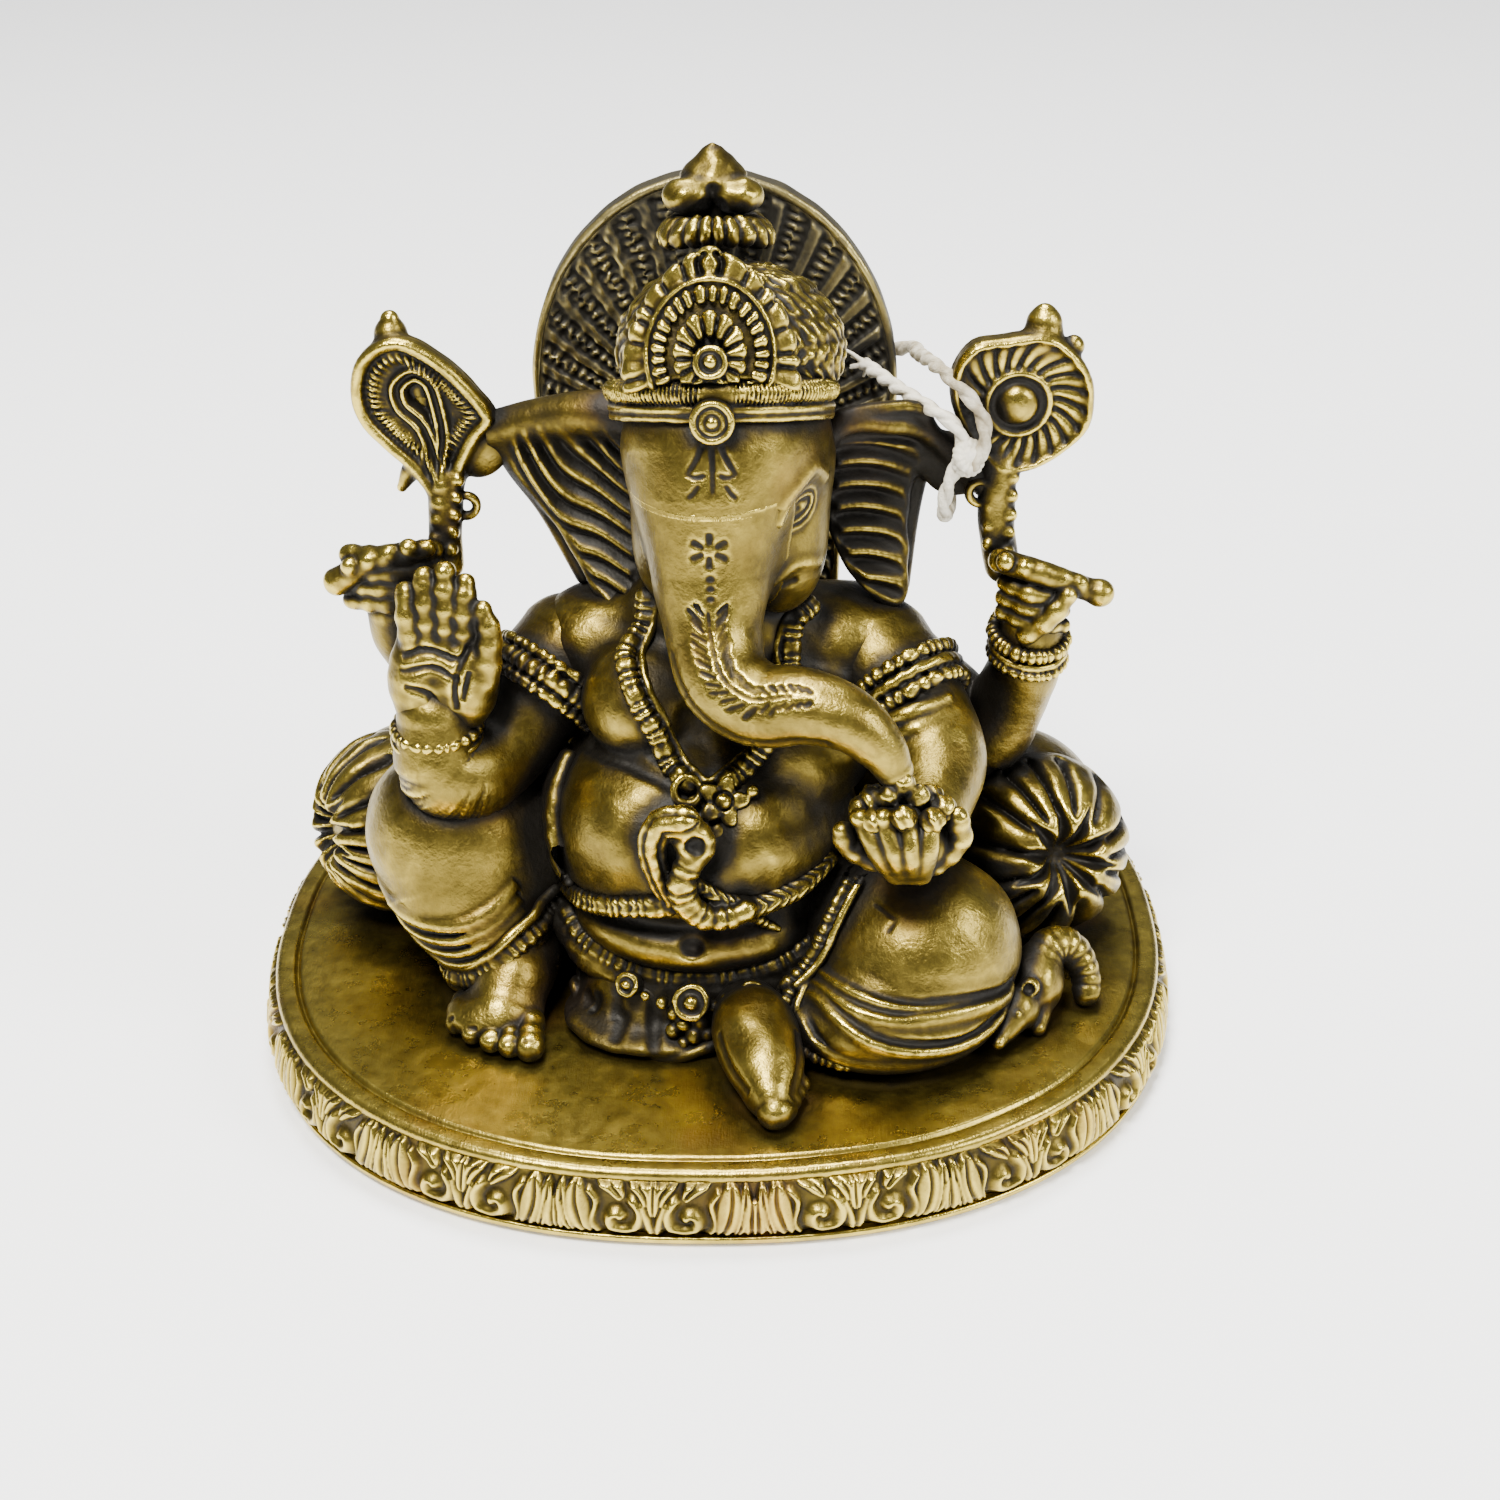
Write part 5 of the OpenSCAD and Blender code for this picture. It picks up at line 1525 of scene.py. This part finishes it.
def base_frieze():
    """The wall, with its motifs worked in relief, and a plain edge below them."""
    lo, hi = corners("base_wall")
    angles = np.linspace(0, 2 * np.pi, WALL_SIDES, endpoint=False)
    heights = np.linspace(lo[2] - 0.4, hi[2] + 0.3, WALL_ROWS)
    ring_points = oval(angles, 0.9)
    steps = np.linalg.norm(np.roll(ring_points, -1, 0) - ring_points, axis=1)
    run = np.concatenate([[0], np.cumsum(steps)[:-1]]) / steps.sum() * MOTIFS + 0.25
    u = ((run + 0.5) % 1 - 0.5) * steps.sum() / MOTIFS
    middle = (heights[0] + heights[-1]) / 2
    uu, vv = np.meshgrid(u, heights - middle)
    jitter = np.random.default_rng(103).normal(size=(MOTIFS + 1, 2)) * 0.12
    which = (np.floor(run + 0.5).astype(int) % MOTIFS)
    h = motif_relief((uu + jitter[which, 0]).ravel().astype("f4"),
                     ((vv + jitter[which, 1]) * 1.02).ravel().astype("f4")).reshape(uu.shape)
    fade = np.clip((heights[-1] - heights) / 0.5, 0, 1) * np.clip((heights - heights[0]) / 0.5, 0, 1)
    h = h * fade[:, None]
    rows = []
    for z, relief in zip(heights, h):
        t = (z - lo[2]) / (hi[2] - lo[2])
        inset = 0.95 + WALL_SLOPE * max(0.0, (t - 0.25) / 0.75) ** 1.5 + 0.5 * max(0.0, 0.15 - t) / 0.15
        outer, inner = oval(angles, inset - 1.0), oval(angles, inset)
        xy = inner + (outer - inner) * (0.95 * relief)[:, None]
        rows.append(np.column_stack([xy, np.full(WALL_SIDES, z)]))
    for inset, z in ((3.6, heights[-1]), (3.2, heights[0])):
        rows.append(np.column_stack([oval(angles, inset), np.full(WALL_SIDES, z)]))
    points, quads = lofted(rows[::-1])
    # the low ground between the motifs and the two inner rows are painted darker: painted shade, with
    # patina in the recesses
    extra_shade_and_patina = np.vstack([np.full((2, WALL_SIDES), 1.0), (1 - h)[::-1]]).ravel()
    return points + 0.05 * unevenness(points.T.astype("f4"), 2, 104)[:, None], quads, extra_shade_and_patina


def base_foot():
    """The plain lower edge, which curves in to where it stands."""
    lo, hi = corners("base_foot")
    z0, z1 = lo[2], hi[2] - 0.7
    profile = [(4.0, z0), (1.9, z0), (1.2, z0 + 0.25), (0.75, z0 + 0.8), (0.7, z0 + 1.5),
               (1.0, z1 + 0.15), (1.5, z1 + 0.3), (3.4, z1 + 0.3), (4.0, z0 + 1)]
    return turned(profile, EDGE_SIDES)


def base_wall():
    """The inner side of the cast wall, seen only from below."""
    lo, hi = corners("base_wall")
    profile = [(5.6, hi[2] - 1.4), (3.3, hi[2] - 1.4), (3.1, lo[2] + 0.4), (3.9, lo[2] + 0.1)]
    return turned(profile, EDGE_SIDES)


# ---------------------------------------------------------------- materials

class Nodes:
    """Short ways to lay out a material's nodes."""

    def __init__(self, name):
        self.material = bpy.data.materials.new(name)
        self.material.use_nodes = True
        self.tree = self.material.node_tree
        self.shader = self.tree.nodes["Principled BSDF"]

    def add(self, kind, inputs=(), **settings):
        node = self.tree.nodes.new(kind)
        for key, value in settings.items():
            setattr(node, key, value)
        for key, value in dict(inputs).items():
            self.put(node.inputs[key], value)
        return node

    def put(self, socket, value):
        if hasattr(value, "node"):
            self.tree.links.new(value, socket)
        else:
            socket.default_value = value

    def value(self, name):
        return self.add("ShaderNodeAttribute", attribute_name=name).outputs["Fac"]

    def place(self):
        return self.add("ShaderNodeTexCoord").outputs["Object"]

    def sums(self, operation, a, b=0.0, c=0.0):
        node = self.add("ShaderNodeMath", operation=operation)
        for socket, value in zip(node.inputs, (a, b, c)):
            self.put(socket, value)
        return node.outputs[0]

    def remap(self, value, low, high, to_low=0.0, to_high=1.0):
        return self.add("ShaderNodeMapRange", {0: value, 1: low, 2: high, 3: to_low, 4: to_high}).outputs[0]

    def noise(self, scale, detail=3.0, stretch=(1, 1, 1), roughness=0.55):
        spread_out = self.add("ShaderNodeMapping", {"Vector": self.place(), "Scale": stretch})
        return self.add("ShaderNodeTexNoise", {"Vector": spread_out.outputs[0], "Scale": scale,
                        "Detail": detail, "Roughness": roughness}).outputs["Fac"]

    def ramp(self, value, stops):
        node = self.add("ShaderNodeValToRGB", {"Fac": value})
        stops_in = node.color_ramp.elements
        while len(stops_in) < len(stops):
            stops_in.new(0.5)
        for stop, (place, colour) in zip(stops_in, stops):
            stop.position = place
            stop.color = (*colour, 1)
        return node.outputs["Color"]

    def blend(self, share, a, b):
        node = self.add("ShaderNodeMix", data_type="RGBA")
        for key, value in ((0, share), (6, a), (7, b)):
            self.put(node.inputs[key], value)
        return node.outputs[2]

    def bumps(self, *heights):
        normal = None
        for height, strength, distance in heights:
            inputs = {"Height": height, "Strength": strength, "Distance": distance}
            if normal is not None:
                inputs["Normal"] = normal
            normal = self.add("ShaderNodeBump", inputs).outputs[0]
        self.put(self.shader.inputs["Normal"], normal)


def brass(name, worn=0.0, grey=0.0, brown=0.15, dark=1.0, rough=0.0, scratches=0.25, pitted=0.4):
    """Cast brass with an old patina: dark in the hollows, polished by hands on what stands out, and painted
    shade between parts.
    """
    n = Nodes(name)
    hollow, shade_and_patina = n.value("hollow"), n.value("shade_and_patina")
    cloud = n.noise(110, 4)
    mottle = n.noise(420, 5, roughness=0.65)
    grain = n.noise(2600, 3)
    tone = n.sums("MULTIPLY_ADD", n.remap(hollow, -0.5, 0.5, -0.5, 0.5), -1.0 * dark, 0.62 + worn)
    # painted shade: darker where other surfaces close round a point, partly the patina that gathers there
    tone = n.sums("MULTIPLY_ADD", shade_and_patina, -1.15 * dark, tone)
    tone = n.sums("MULTIPLY_ADD", n.sums("SUBTRACT", cloud, 0.5), 0.5, tone)
    tone = n.sums("MULTIPLY_ADD", n.sums("SUBTRACT", mottle, 0.5), 0.42, tone)
    tone = n.sums("MINIMUM", n.sums("MAXIMUM", tone, 0.0), 1.0)
    metal = n.ramp(tone, [(0.0, (0.006, 0.0045, 0.002)), (0.25, (0.024, 0.017, 0.005)),
                          (0.48, (0.088, 0.063, 0.013)), (0.68, (0.22, 0.162, 0.031)),
                          (0.86, (0.41, 0.308, 0.054)), (1.0, (0.64, 0.49, 0.09))])
    tint = n.remap(n.noise(70, 3), 0.56, 0.72, 0.0, brown)
    metal = n.blend(tint, metal, n.blend(tone, (0.04, 0.017, 0.004, 1), (0.48, 0.23, 0.05, 1)))
    if grey:
        metal = n.blend(grey, metal, n.blend(tone, (0.018, 0.016, 0.011, 1), (0.33, 0.31, 0.22, 1)))
    n.put(n.shader.inputs["Base Color"], metal)
    n.put(n.shader.inputs["Metallic"], n.remap(tone, 0.05, 0.5, 0.6, 1.0))
    worn_smooth = n.remap(tone, 0.1, 0.95, 0.56 + rough, 0.23 + rough)
    n.put(n.shader.inputs["Roughness"], n.sums("MULTIPLY_ADD", n.sums("SUBTRACT", mottle, 0.5),
                                               0.3, worn_smooth))
    lines = n.noise(500, 2, (9, 1, 2))
    n.bumps((mottle, pitted, 0.0005), (grain, 0.3, 0.00012), (lines, 0.3 * scratches, 0.0001))
    return n.material


def cotton():
    n = Nodes("cotton_string")
    fibres = n.noise(3200, 4, (1, 1, 2))
    # painted shade: the string is darker where other surfaces close round it
    colour = n.ramp(n.sums("MULTIPLY_ADD", n.value("shade_and_patina"), -0.4, n.noise(500, 3)),
                    [(0.0, (0.3, 0.25, 0.16)), (0.4, (0.7, 0.65, 0.52)), (1.0, (0.88, 0.85, 0.77))])
    n.put(n.shader.inputs["Base Color"], colour)
    n.shader.inputs["Roughness"].default_value = 0.9
    n.shader.inputs["Sheen Weight"].default_value = 0.1
    n.shader.inputs["Sheen Roughness"].default_value = 0.5
    n.shader.inputs["Specular IOR Level"].default_value = 0.2
    n.bumps((fibres, 0.7, 0.0003))
    return n.material


MATERIALS = {
    "figure_brass": brass("figure_brass"),
    "drapery_brass": brass("drapery_brass", worn=-0.02),
    "ornament_brass": brass("ornament_brass", worn=0.0, brown=0.1),
    "cushion_brass": brass("cushion_brass", worn=-0.03),
    "halo_brass": brass("halo_brass", worn=-0.2, grey=0.4, rough=0.1),
    "base_brass": brass("base_brass", worn=0.18, brown=0.3, dark=0.7, scratches=1.0, pitted=0.12),
    "cotton": cotton(),
}


# ---------------------------------------------------------------- the pieces

# name of the piece, its field, the CAD nodes it stands for, material slot, voxel in mm
SCULPTED = [
    ("bolster_roll", bolster, ["bolster"], "cushion_brass", 0.5),
    ("bolster_star_left", bolster_left_end, ["bolster_left_end"], "cushion_brass", 0.3),
    ("bolster_star_right", bolster_right_end, ["bolster_right_end"], "cushion_brass", 0.3),
    ("halo_arch", halo_panel, ["halo_panel"], "halo_brass", 0.25),
    ("halo_edge", halo_rim, ["halo_rim"], "halo_brass", 0.3),
    ("crown_cap", crown_dome, ["crown_dome"], "ornament_brass", 0.3),
    ("crown_bands", crown_band, ["crown_band"], "ornament_brass", 0.22),
    ("crown_arch", crown_crest, ["crown_crest"], "ornament_brass", 0.22),
    ("crown_petals", crown_rosette, ["crown_rosette"], "ornament_brass", 0.2),
    ("crown_jewel", crown_medallion, ["crown_medallion"], "ornament_brass", 0.2),
    ("crown_ring", crown_garland, ["crown_garland"], "ornament_brass", 0.22),
    ("crown_tip", crown_finial, ["crown_finial"], "ornament_brass", 0.25),
    ("face", head, ["head"], "figure_brass", 0.24),
    ("trunk_curl", trunk, ["trunk"], "figure_brass", 0.24),
    ("ear_right", right_ear, ["right_ear"], "figure_brass", 0.28),
    ("ear_left", left_ear, ["left_ear"], "figure_brass", 0.28),
    ("body", torso, ["torso"], "figure_brass", 0.36),
    ("shawl_strands", shawl, ["shawl"], "drapery_brass", 0.28),
    ("necklace_ropes", necklace, ["necklace"], "ornament_brass", 0.24),
    ("pendant_flower", pendant, ["pendant"], "ornament_brass", 0.2),
    ("belt_snake", snake_belt, ["snake_belt"], "ornament_brass", 0.24),
    ("girdle_ropes", girdle, ["girdle"], "ornament_brass", 0.24),
    ("girdle_coins", girdle_medallions, ["girdle_medallions"], "ornament_brass", 0.2),
    ("apron_cloth", apron, ["apron"], "drapery_brass", 0.28),
    ("arm_right_front", right_front_arm, ["right_front_arm"], "figure_brass", 0.36),
    ("hand_right_front", right_front_hand, ["right_front_hand"], "figure_brass", 0.22),
    ("armlet_right", right_armlet, ["right_armlet"], "ornament_brass", 0.24),
    ("bracelet_right", right_bracelet, ["right_bracelet"], "ornament_brass", 0.24),
    ("arm_right_rear", right_rear_arm, ["right_rear_arm"], "figure_brass", 0.36),
    ("hand_right_rear", right_rear_hand, ["right_rear_hand"], "figure_brass", 0.22),
    ("emblem_leaf", leaf_emblem, ["leaf_emblem"], "ornament_brass", 0.22),
    ("arm_left_front", left_front_arm, ["left_front_arm"], "figure_brass", 0.36),
    ("hand_left_front", left_front_hand, ["left_front_hand"], "figure_brass", 0.22),
    ("sweet_balls", sweets, ["sweets"], "ornament_brass", 0.22),
    ("armlet_left", left_armlet, ["left_armlet"], "ornament_brass", 0.24),
    ("arm_left_rear", left_rear_arm, ["left_rear_arm"], "figure_brass", 0.36),
    ("hand_left_rear", left_rear_hand, ["left_rear_hand"], "figure_brass", 0.22),
    ("bracelet_left", left_bracelet, ["left_bracelet"], "ornament_brass", 0.24),
    ("emblem_disc", disc_emblem, ["disc_emblem"], "ornament_brass", 0.22),
    ("leg_right", right_leg, ["right_leg"], "figure_brass", 0.32),
    ("hem_right", right_leg_hem, ["right_leg_hem"], "drapery_brass", 0.26),
    ("foot_right", right_foot, ["right_foot"], "figure_brass", 0.24),
    ("anklet_right", right_anklet, ["right_anklet"], "ornament_brass", 0.24),
    ("leg_left", left_leg, ["left_leg"], "figure_brass", 0.32),
    ("hem_left", left_leg_hem, ["left_leg_hem"], "drapery_brass", 0.24),
    ("foot_left", left_foot, ["left_foot"], "figure_brass", 0.24),
    ("mouse_body", mouse, ["mouse"], "figure_brass", 0.22),
]
MARGIN = 3.0


def reach_of(nodes):
    lo = np.min([corners(n)[0] for n in nodes], 0) - MARGIN
    hi = np.max([corners(n)[1] for n in nodes], 0) + MARGIN
    return lo, hi


def deck_field(p):
    top = corners("base_deck")[1][2]
    r = np.hypot(p[0] / 55.5, p[1] / 52.5)
    return np.maximum(p[2] - top, (r - 1) * 52)


def make_piece(name, points, quads, nodes, slot, around, extra_shade_and_patina=0.0):
    """A mesh piece, with how hollow each point is for its patina, and how closed in it is for its
    patina and painted shade. Extra shade, such as the ground of a relief, from 0 to 1, darkens it more."""
    normal = normals_of(points, quads)
    facing = np.cross(points[quads[:, 2]] - points[quads[:, 0]], points[quads[:, 3]] - points[quads[:, 1]])
    if ((points[quads[:, 0]] - points.mean(0)) * facing).sum() < 0:
        quads, normal = quads[:, ::-1], -normal
    hollow = hollowness(points, quads, normal)
    # painted shade and patina from how closed in each point is, plus the extra shade
    shade_and_patina = np.clip(around.shade_and_patina(points, normal) + extra_shade_and_patina, 0, 1)
    mesh = bpy.data.meshes.new(name)
    mesh.vertices.add(len(points))
    mesh.vertices.foreach_set("co", (points * MM).astype("f4").ravel())
    mesh.loops.add(quads.size)
    mesh.loops.foreach_set("vertex_index", quads.astype("i4").ravel())
    mesh.polygons.add(len(quads))
    mesh.polygons.foreach_set("loop_start", np.arange(0, quads.size, 4, dtype="i4"))
    for label, values in (("hollow", hollow), ("shade_and_patina", shade_and_patina)):
        attribute = mesh.attributes.new(label, "FLOAT", "POINT")
        attribute.data.foreach_set("value", values.astype("f4"))
    mesh.update(calc_edges=True)
    mesh.validate()
    mesh.shade_smooth()
    mesh.materials.append(MATERIALS[slot])
    piece = bpy.data.objects.new(name, mesh)
    bpy.context.scene.collection.objects.link(piece)
    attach(piece, "root")
    if nodes:
        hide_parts(*nodes)
    return piece


def sculpt_one(row):
    _, field, nodes, _, voxel = row
    lo, hi = reach_of(nodes)
    return sculpted(field, lo, hi, voxel * DETAIL)


# ---------------------------------------------------------------- camera and the cotton tie

def look(eye, target, roll):
    toward = (Vector(target) - Vector(eye)).normalized()
    turned_to = toward.to_track_quat("-Z", "Y").to_matrix()
    return (turned_to @ Euler((0, 0, math.radians(roll))).to_matrix()).to_euler()


camera_data = bpy.data.cameras.new("camera")
camera_data.sensor_width = 36
camera_data.lens = 59.0
camera = bpy.data.objects.new("camera", camera_data)
camera.location = (0.0121, -0.2725, 0.1852)
camera.rotation_euler = look(camera.location, (0.0047, -0.005, 0.0374), -0.9)
bpy.context.scene.collection.objects.link(camera)
bpy.context.scene.camera = camera


# The tie's route in metres from the point of the deck that the figure sits on: round the
# web beside the left ear, through the knot and over to a loose end on the panel.
TIE_ROUTE = [(0.0306, 0.0072, 0.0650), (0.0298, 0.0076, 0.0618), (0.0292, 0.0066, 0.0590),
             (0.0286, 0.0038, 0.0578), (0.0281, 0.0012, 0.0587), (0.0281, 0.0001, 0.0613),
             (0.0288, -0.0002, 0.0640), (0.0298, -0.0001, 0.0664), (0.0299, 0.0000, 0.0685),
             (0.0289, 0.0004, 0.0702), (0.0270, 0.0016, 0.0712), (0.0249, 0.0044, 0.0716),
             (0.0226, 0.0086, 0.0717), (0.0207, 0.0130, 0.0716), (0.0189, 0.0176, 0.0714)]
# its other end: from the knot, past the edge of the disc and round behind the panel
LOOP_ROUTE = [(0.0314, -0.0009, 0.0656), (0.0324, -0.0005, 0.0680), (0.0324, 0.0001, 0.0704),
              (0.0312, 0.0008, 0.0726), (0.0290, 0.0019, 0.0748), (0.0269, 0.0054, 0.0756),
              (0.0257, 0.0106, 0.0748), (0.0252, 0.0152, 0.0736), (0.0253, 0.0196, 0.0725),
              (0.0246, 0.0234, 0.0714), (0.0223, 0.0255, 0.0702), (0.0194, 0.0252, 0.0690),
              (0.0168, 0.0240, 0.0680)]
SEAT = np.array([0.0, -0.005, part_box("base_deck")[1][2]])


def string_way(route):
    """The smooth line of a string in the frame, in metres."""
    return smooth(np.array(route) + SEAT, 4)


def string_form(route):
    rows = np.column_stack([string_way(route)[::2] / MM, np.full(len(string_way(route)[::2]), 0.92)])

    def field(p):
        return rope(p, rows, 2, 3.4, 0.4, 1) + 0.06 * unevenness(p, 1.1, 95)
    return field


def string_knot(p):
    """Three turns of the string pulled tight over each other."""
    at = spot("string_knot")
    middle = at(0, 0, 0)
    d = egg(p, middle, (1.3, 1.0, 1.3))
    for x, y, z, lift in ((70, 0, 20, 0.5), (40, 50, 0, 0.0), (100, -40, 0, -0.5)):
        turn_of, a = ring(p, middle + (0, 0, lift), 1.25, 0.72, turn(x=x, y=y, z=z))
        d = join(d, turn_of + 0.14 * (1 - wave(a * 2.2 + 0.3 * x)), 0.15)
    return d


def frayed_end(p):
    """Loose fibres where the tie was cut."""
    rng = np.random.default_rng(96)
    end = string_way(TIE_ROUTE)[-1] / MM
    ahead = end - string_way(TIE_ROUTE)[-3] / MM
    ahead = ahead / np.linalg.norm(ahead)
    d = np.full(p.shape[1], 1e3, "f4")
    for _ in range(9):
        spread_out = rng.normal(size=3) * (0.5, 0.12, 0.6)
        start = end - 0.6 * ahead + 0.35 * spread_out
        tip = end + (0.5 * ahead) * (1, 0.2, 1) + spread_out * 1.7 + (-0.7, 0, 0.2)
        rows = np.vstack([[*start, 0.3], [*((start + tip) / 2 + (0, -0.1, 0.15)), 0.24], [*tip, 0.16]])
        d = join(d, limb(p, *rows, steps=2), 0.1)
    return d


SCULPTED.append(("cotton_tie", string_form(TIE_ROUTE), ["tag_string"], "cotton", 0.16))
SCULPTED.append(("cotton_loop", string_form(LOOP_ROUTE), ["tag_string_loop"], "cotton", 0.16))
SCULPTED.append(("cotton_knot", string_knot, ["string_knot"], "cotton", 0.16))
SCULPTED.append(("cotton_fray", frayed_end, ["tag_string"], "cotton", 0.12))

# The ears lie behind the head in shadow and get extra painted shade; the panel and the loop of string are
# made darker too.
SHADED = {"ear_right": 0.22, "ear_left": 0.3, "halo_arch": 0.05, "cotton_loop": 0.8}

with ThreadPoolExecutor(4) as pool:
    meshes = list(pool.map(sculpt_one, SCULPTED))

around = Surroundings([(row[1], *reach_of(row[2])) for row in SCULPTED]
                      + [(deck_field, *corners("base_deck"))])
for row, (points, quads) in zip(SCULPTED, meshes):
    make_piece(row[0], points, quads, row[2], row[3], around, SHADED.get(row[0], 0.0))

# less painted shade on the deck, where it meets the figure
make_piece("deck_plate", *base_deck(), ["base_deck"], "base_brass", around, -0.42)
band_points, band_quads, band_shade_and_patina = base_frieze()
# half of the relief's ground goes into its painted shade and patina
make_piece("frieze_band", band_points, band_quads, ["base_frieze"], "base_brass", around, 0.5 * band_shade_and_patina)
make_piece("foot_edge", *base_foot(), ["base_foot"], "base_brass", around)
make_piece("wall_inside", *base_wall(), ["base_wall"], "base_brass", around)

tie_way, loop_way = string_way(TIE_ROUTE), string_way(LOOP_ROUTE)


# ---------------------------------------------------------------- floor and lights

def pale():
    n = Nodes("pale_floor")
    n.put(n.shader.inputs["Base Color"], n.ramp(n.noise(60, 2), [(0.0, (0.93, 0.93, 0.93)),
                                                                 (1.0, (0.95, 0.95, 0.95))]))
    n.shader.inputs["Roughness"].default_value = 0.85
    n.shader.inputs["Specular IOR Level"].default_value = 0.1
    n.shader.inputs["Emission Color"].default_value = (1, 1, 1, 1)
    n.shader.inputs["Emission Strength"].default_value = 0.34
    return n.material


floor_mesh = bpy.data.meshes.new("floor")
floor_mesh.from_pydata([(-4, -4, 0), (4, -4, 0), (4, 4, 0), (-4, 4, 0)], [], [(0, 1, 2, 3)])
floor_mesh.materials.append(pale())
floor = bpy.data.objects.new("floor", floor_mesh)
bpy.context.scene.collection.objects.link(floor)


def soft_light(name, place, target, size, power, colour=(1, 1, 1)):
    data = bpy.data.lights.new(name, "AREA")
    data.shape = "DISK"
    data.size = size
    data.energy = power
    data.color = colour
    light = bpy.data.objects.new(name, data)
    light.location = place
    light.rotation_euler = look(place, target, 0)
    bpy.context.scene.collection.objects.link(light)


soft_light("key", (-0.15, -0.35, 0.8), (0, 0, 0.05), 0.28, 19.0, (1.0, 0.98, 0.93))
soft_light("fill", (0.7, -0.3, 0.5), (0, 0, 0.05), 0.35, 7.0, (0.98, 0.99, 1.0))
soft_light("top", (0.0, 0.25, 0.9), (0, 0, 0.05), 0.35, 12.0)
world = bpy.data.worlds.new("studio")
world.use_nodes = True
world.node_tree.nodes["Background"].inputs["Color"].default_value = (0.75, 0.77, 0.8, 1)
world.node_tree.nodes["Background"].inputs["Strength"].default_value = 0.3
bpy.context.scene.world = world
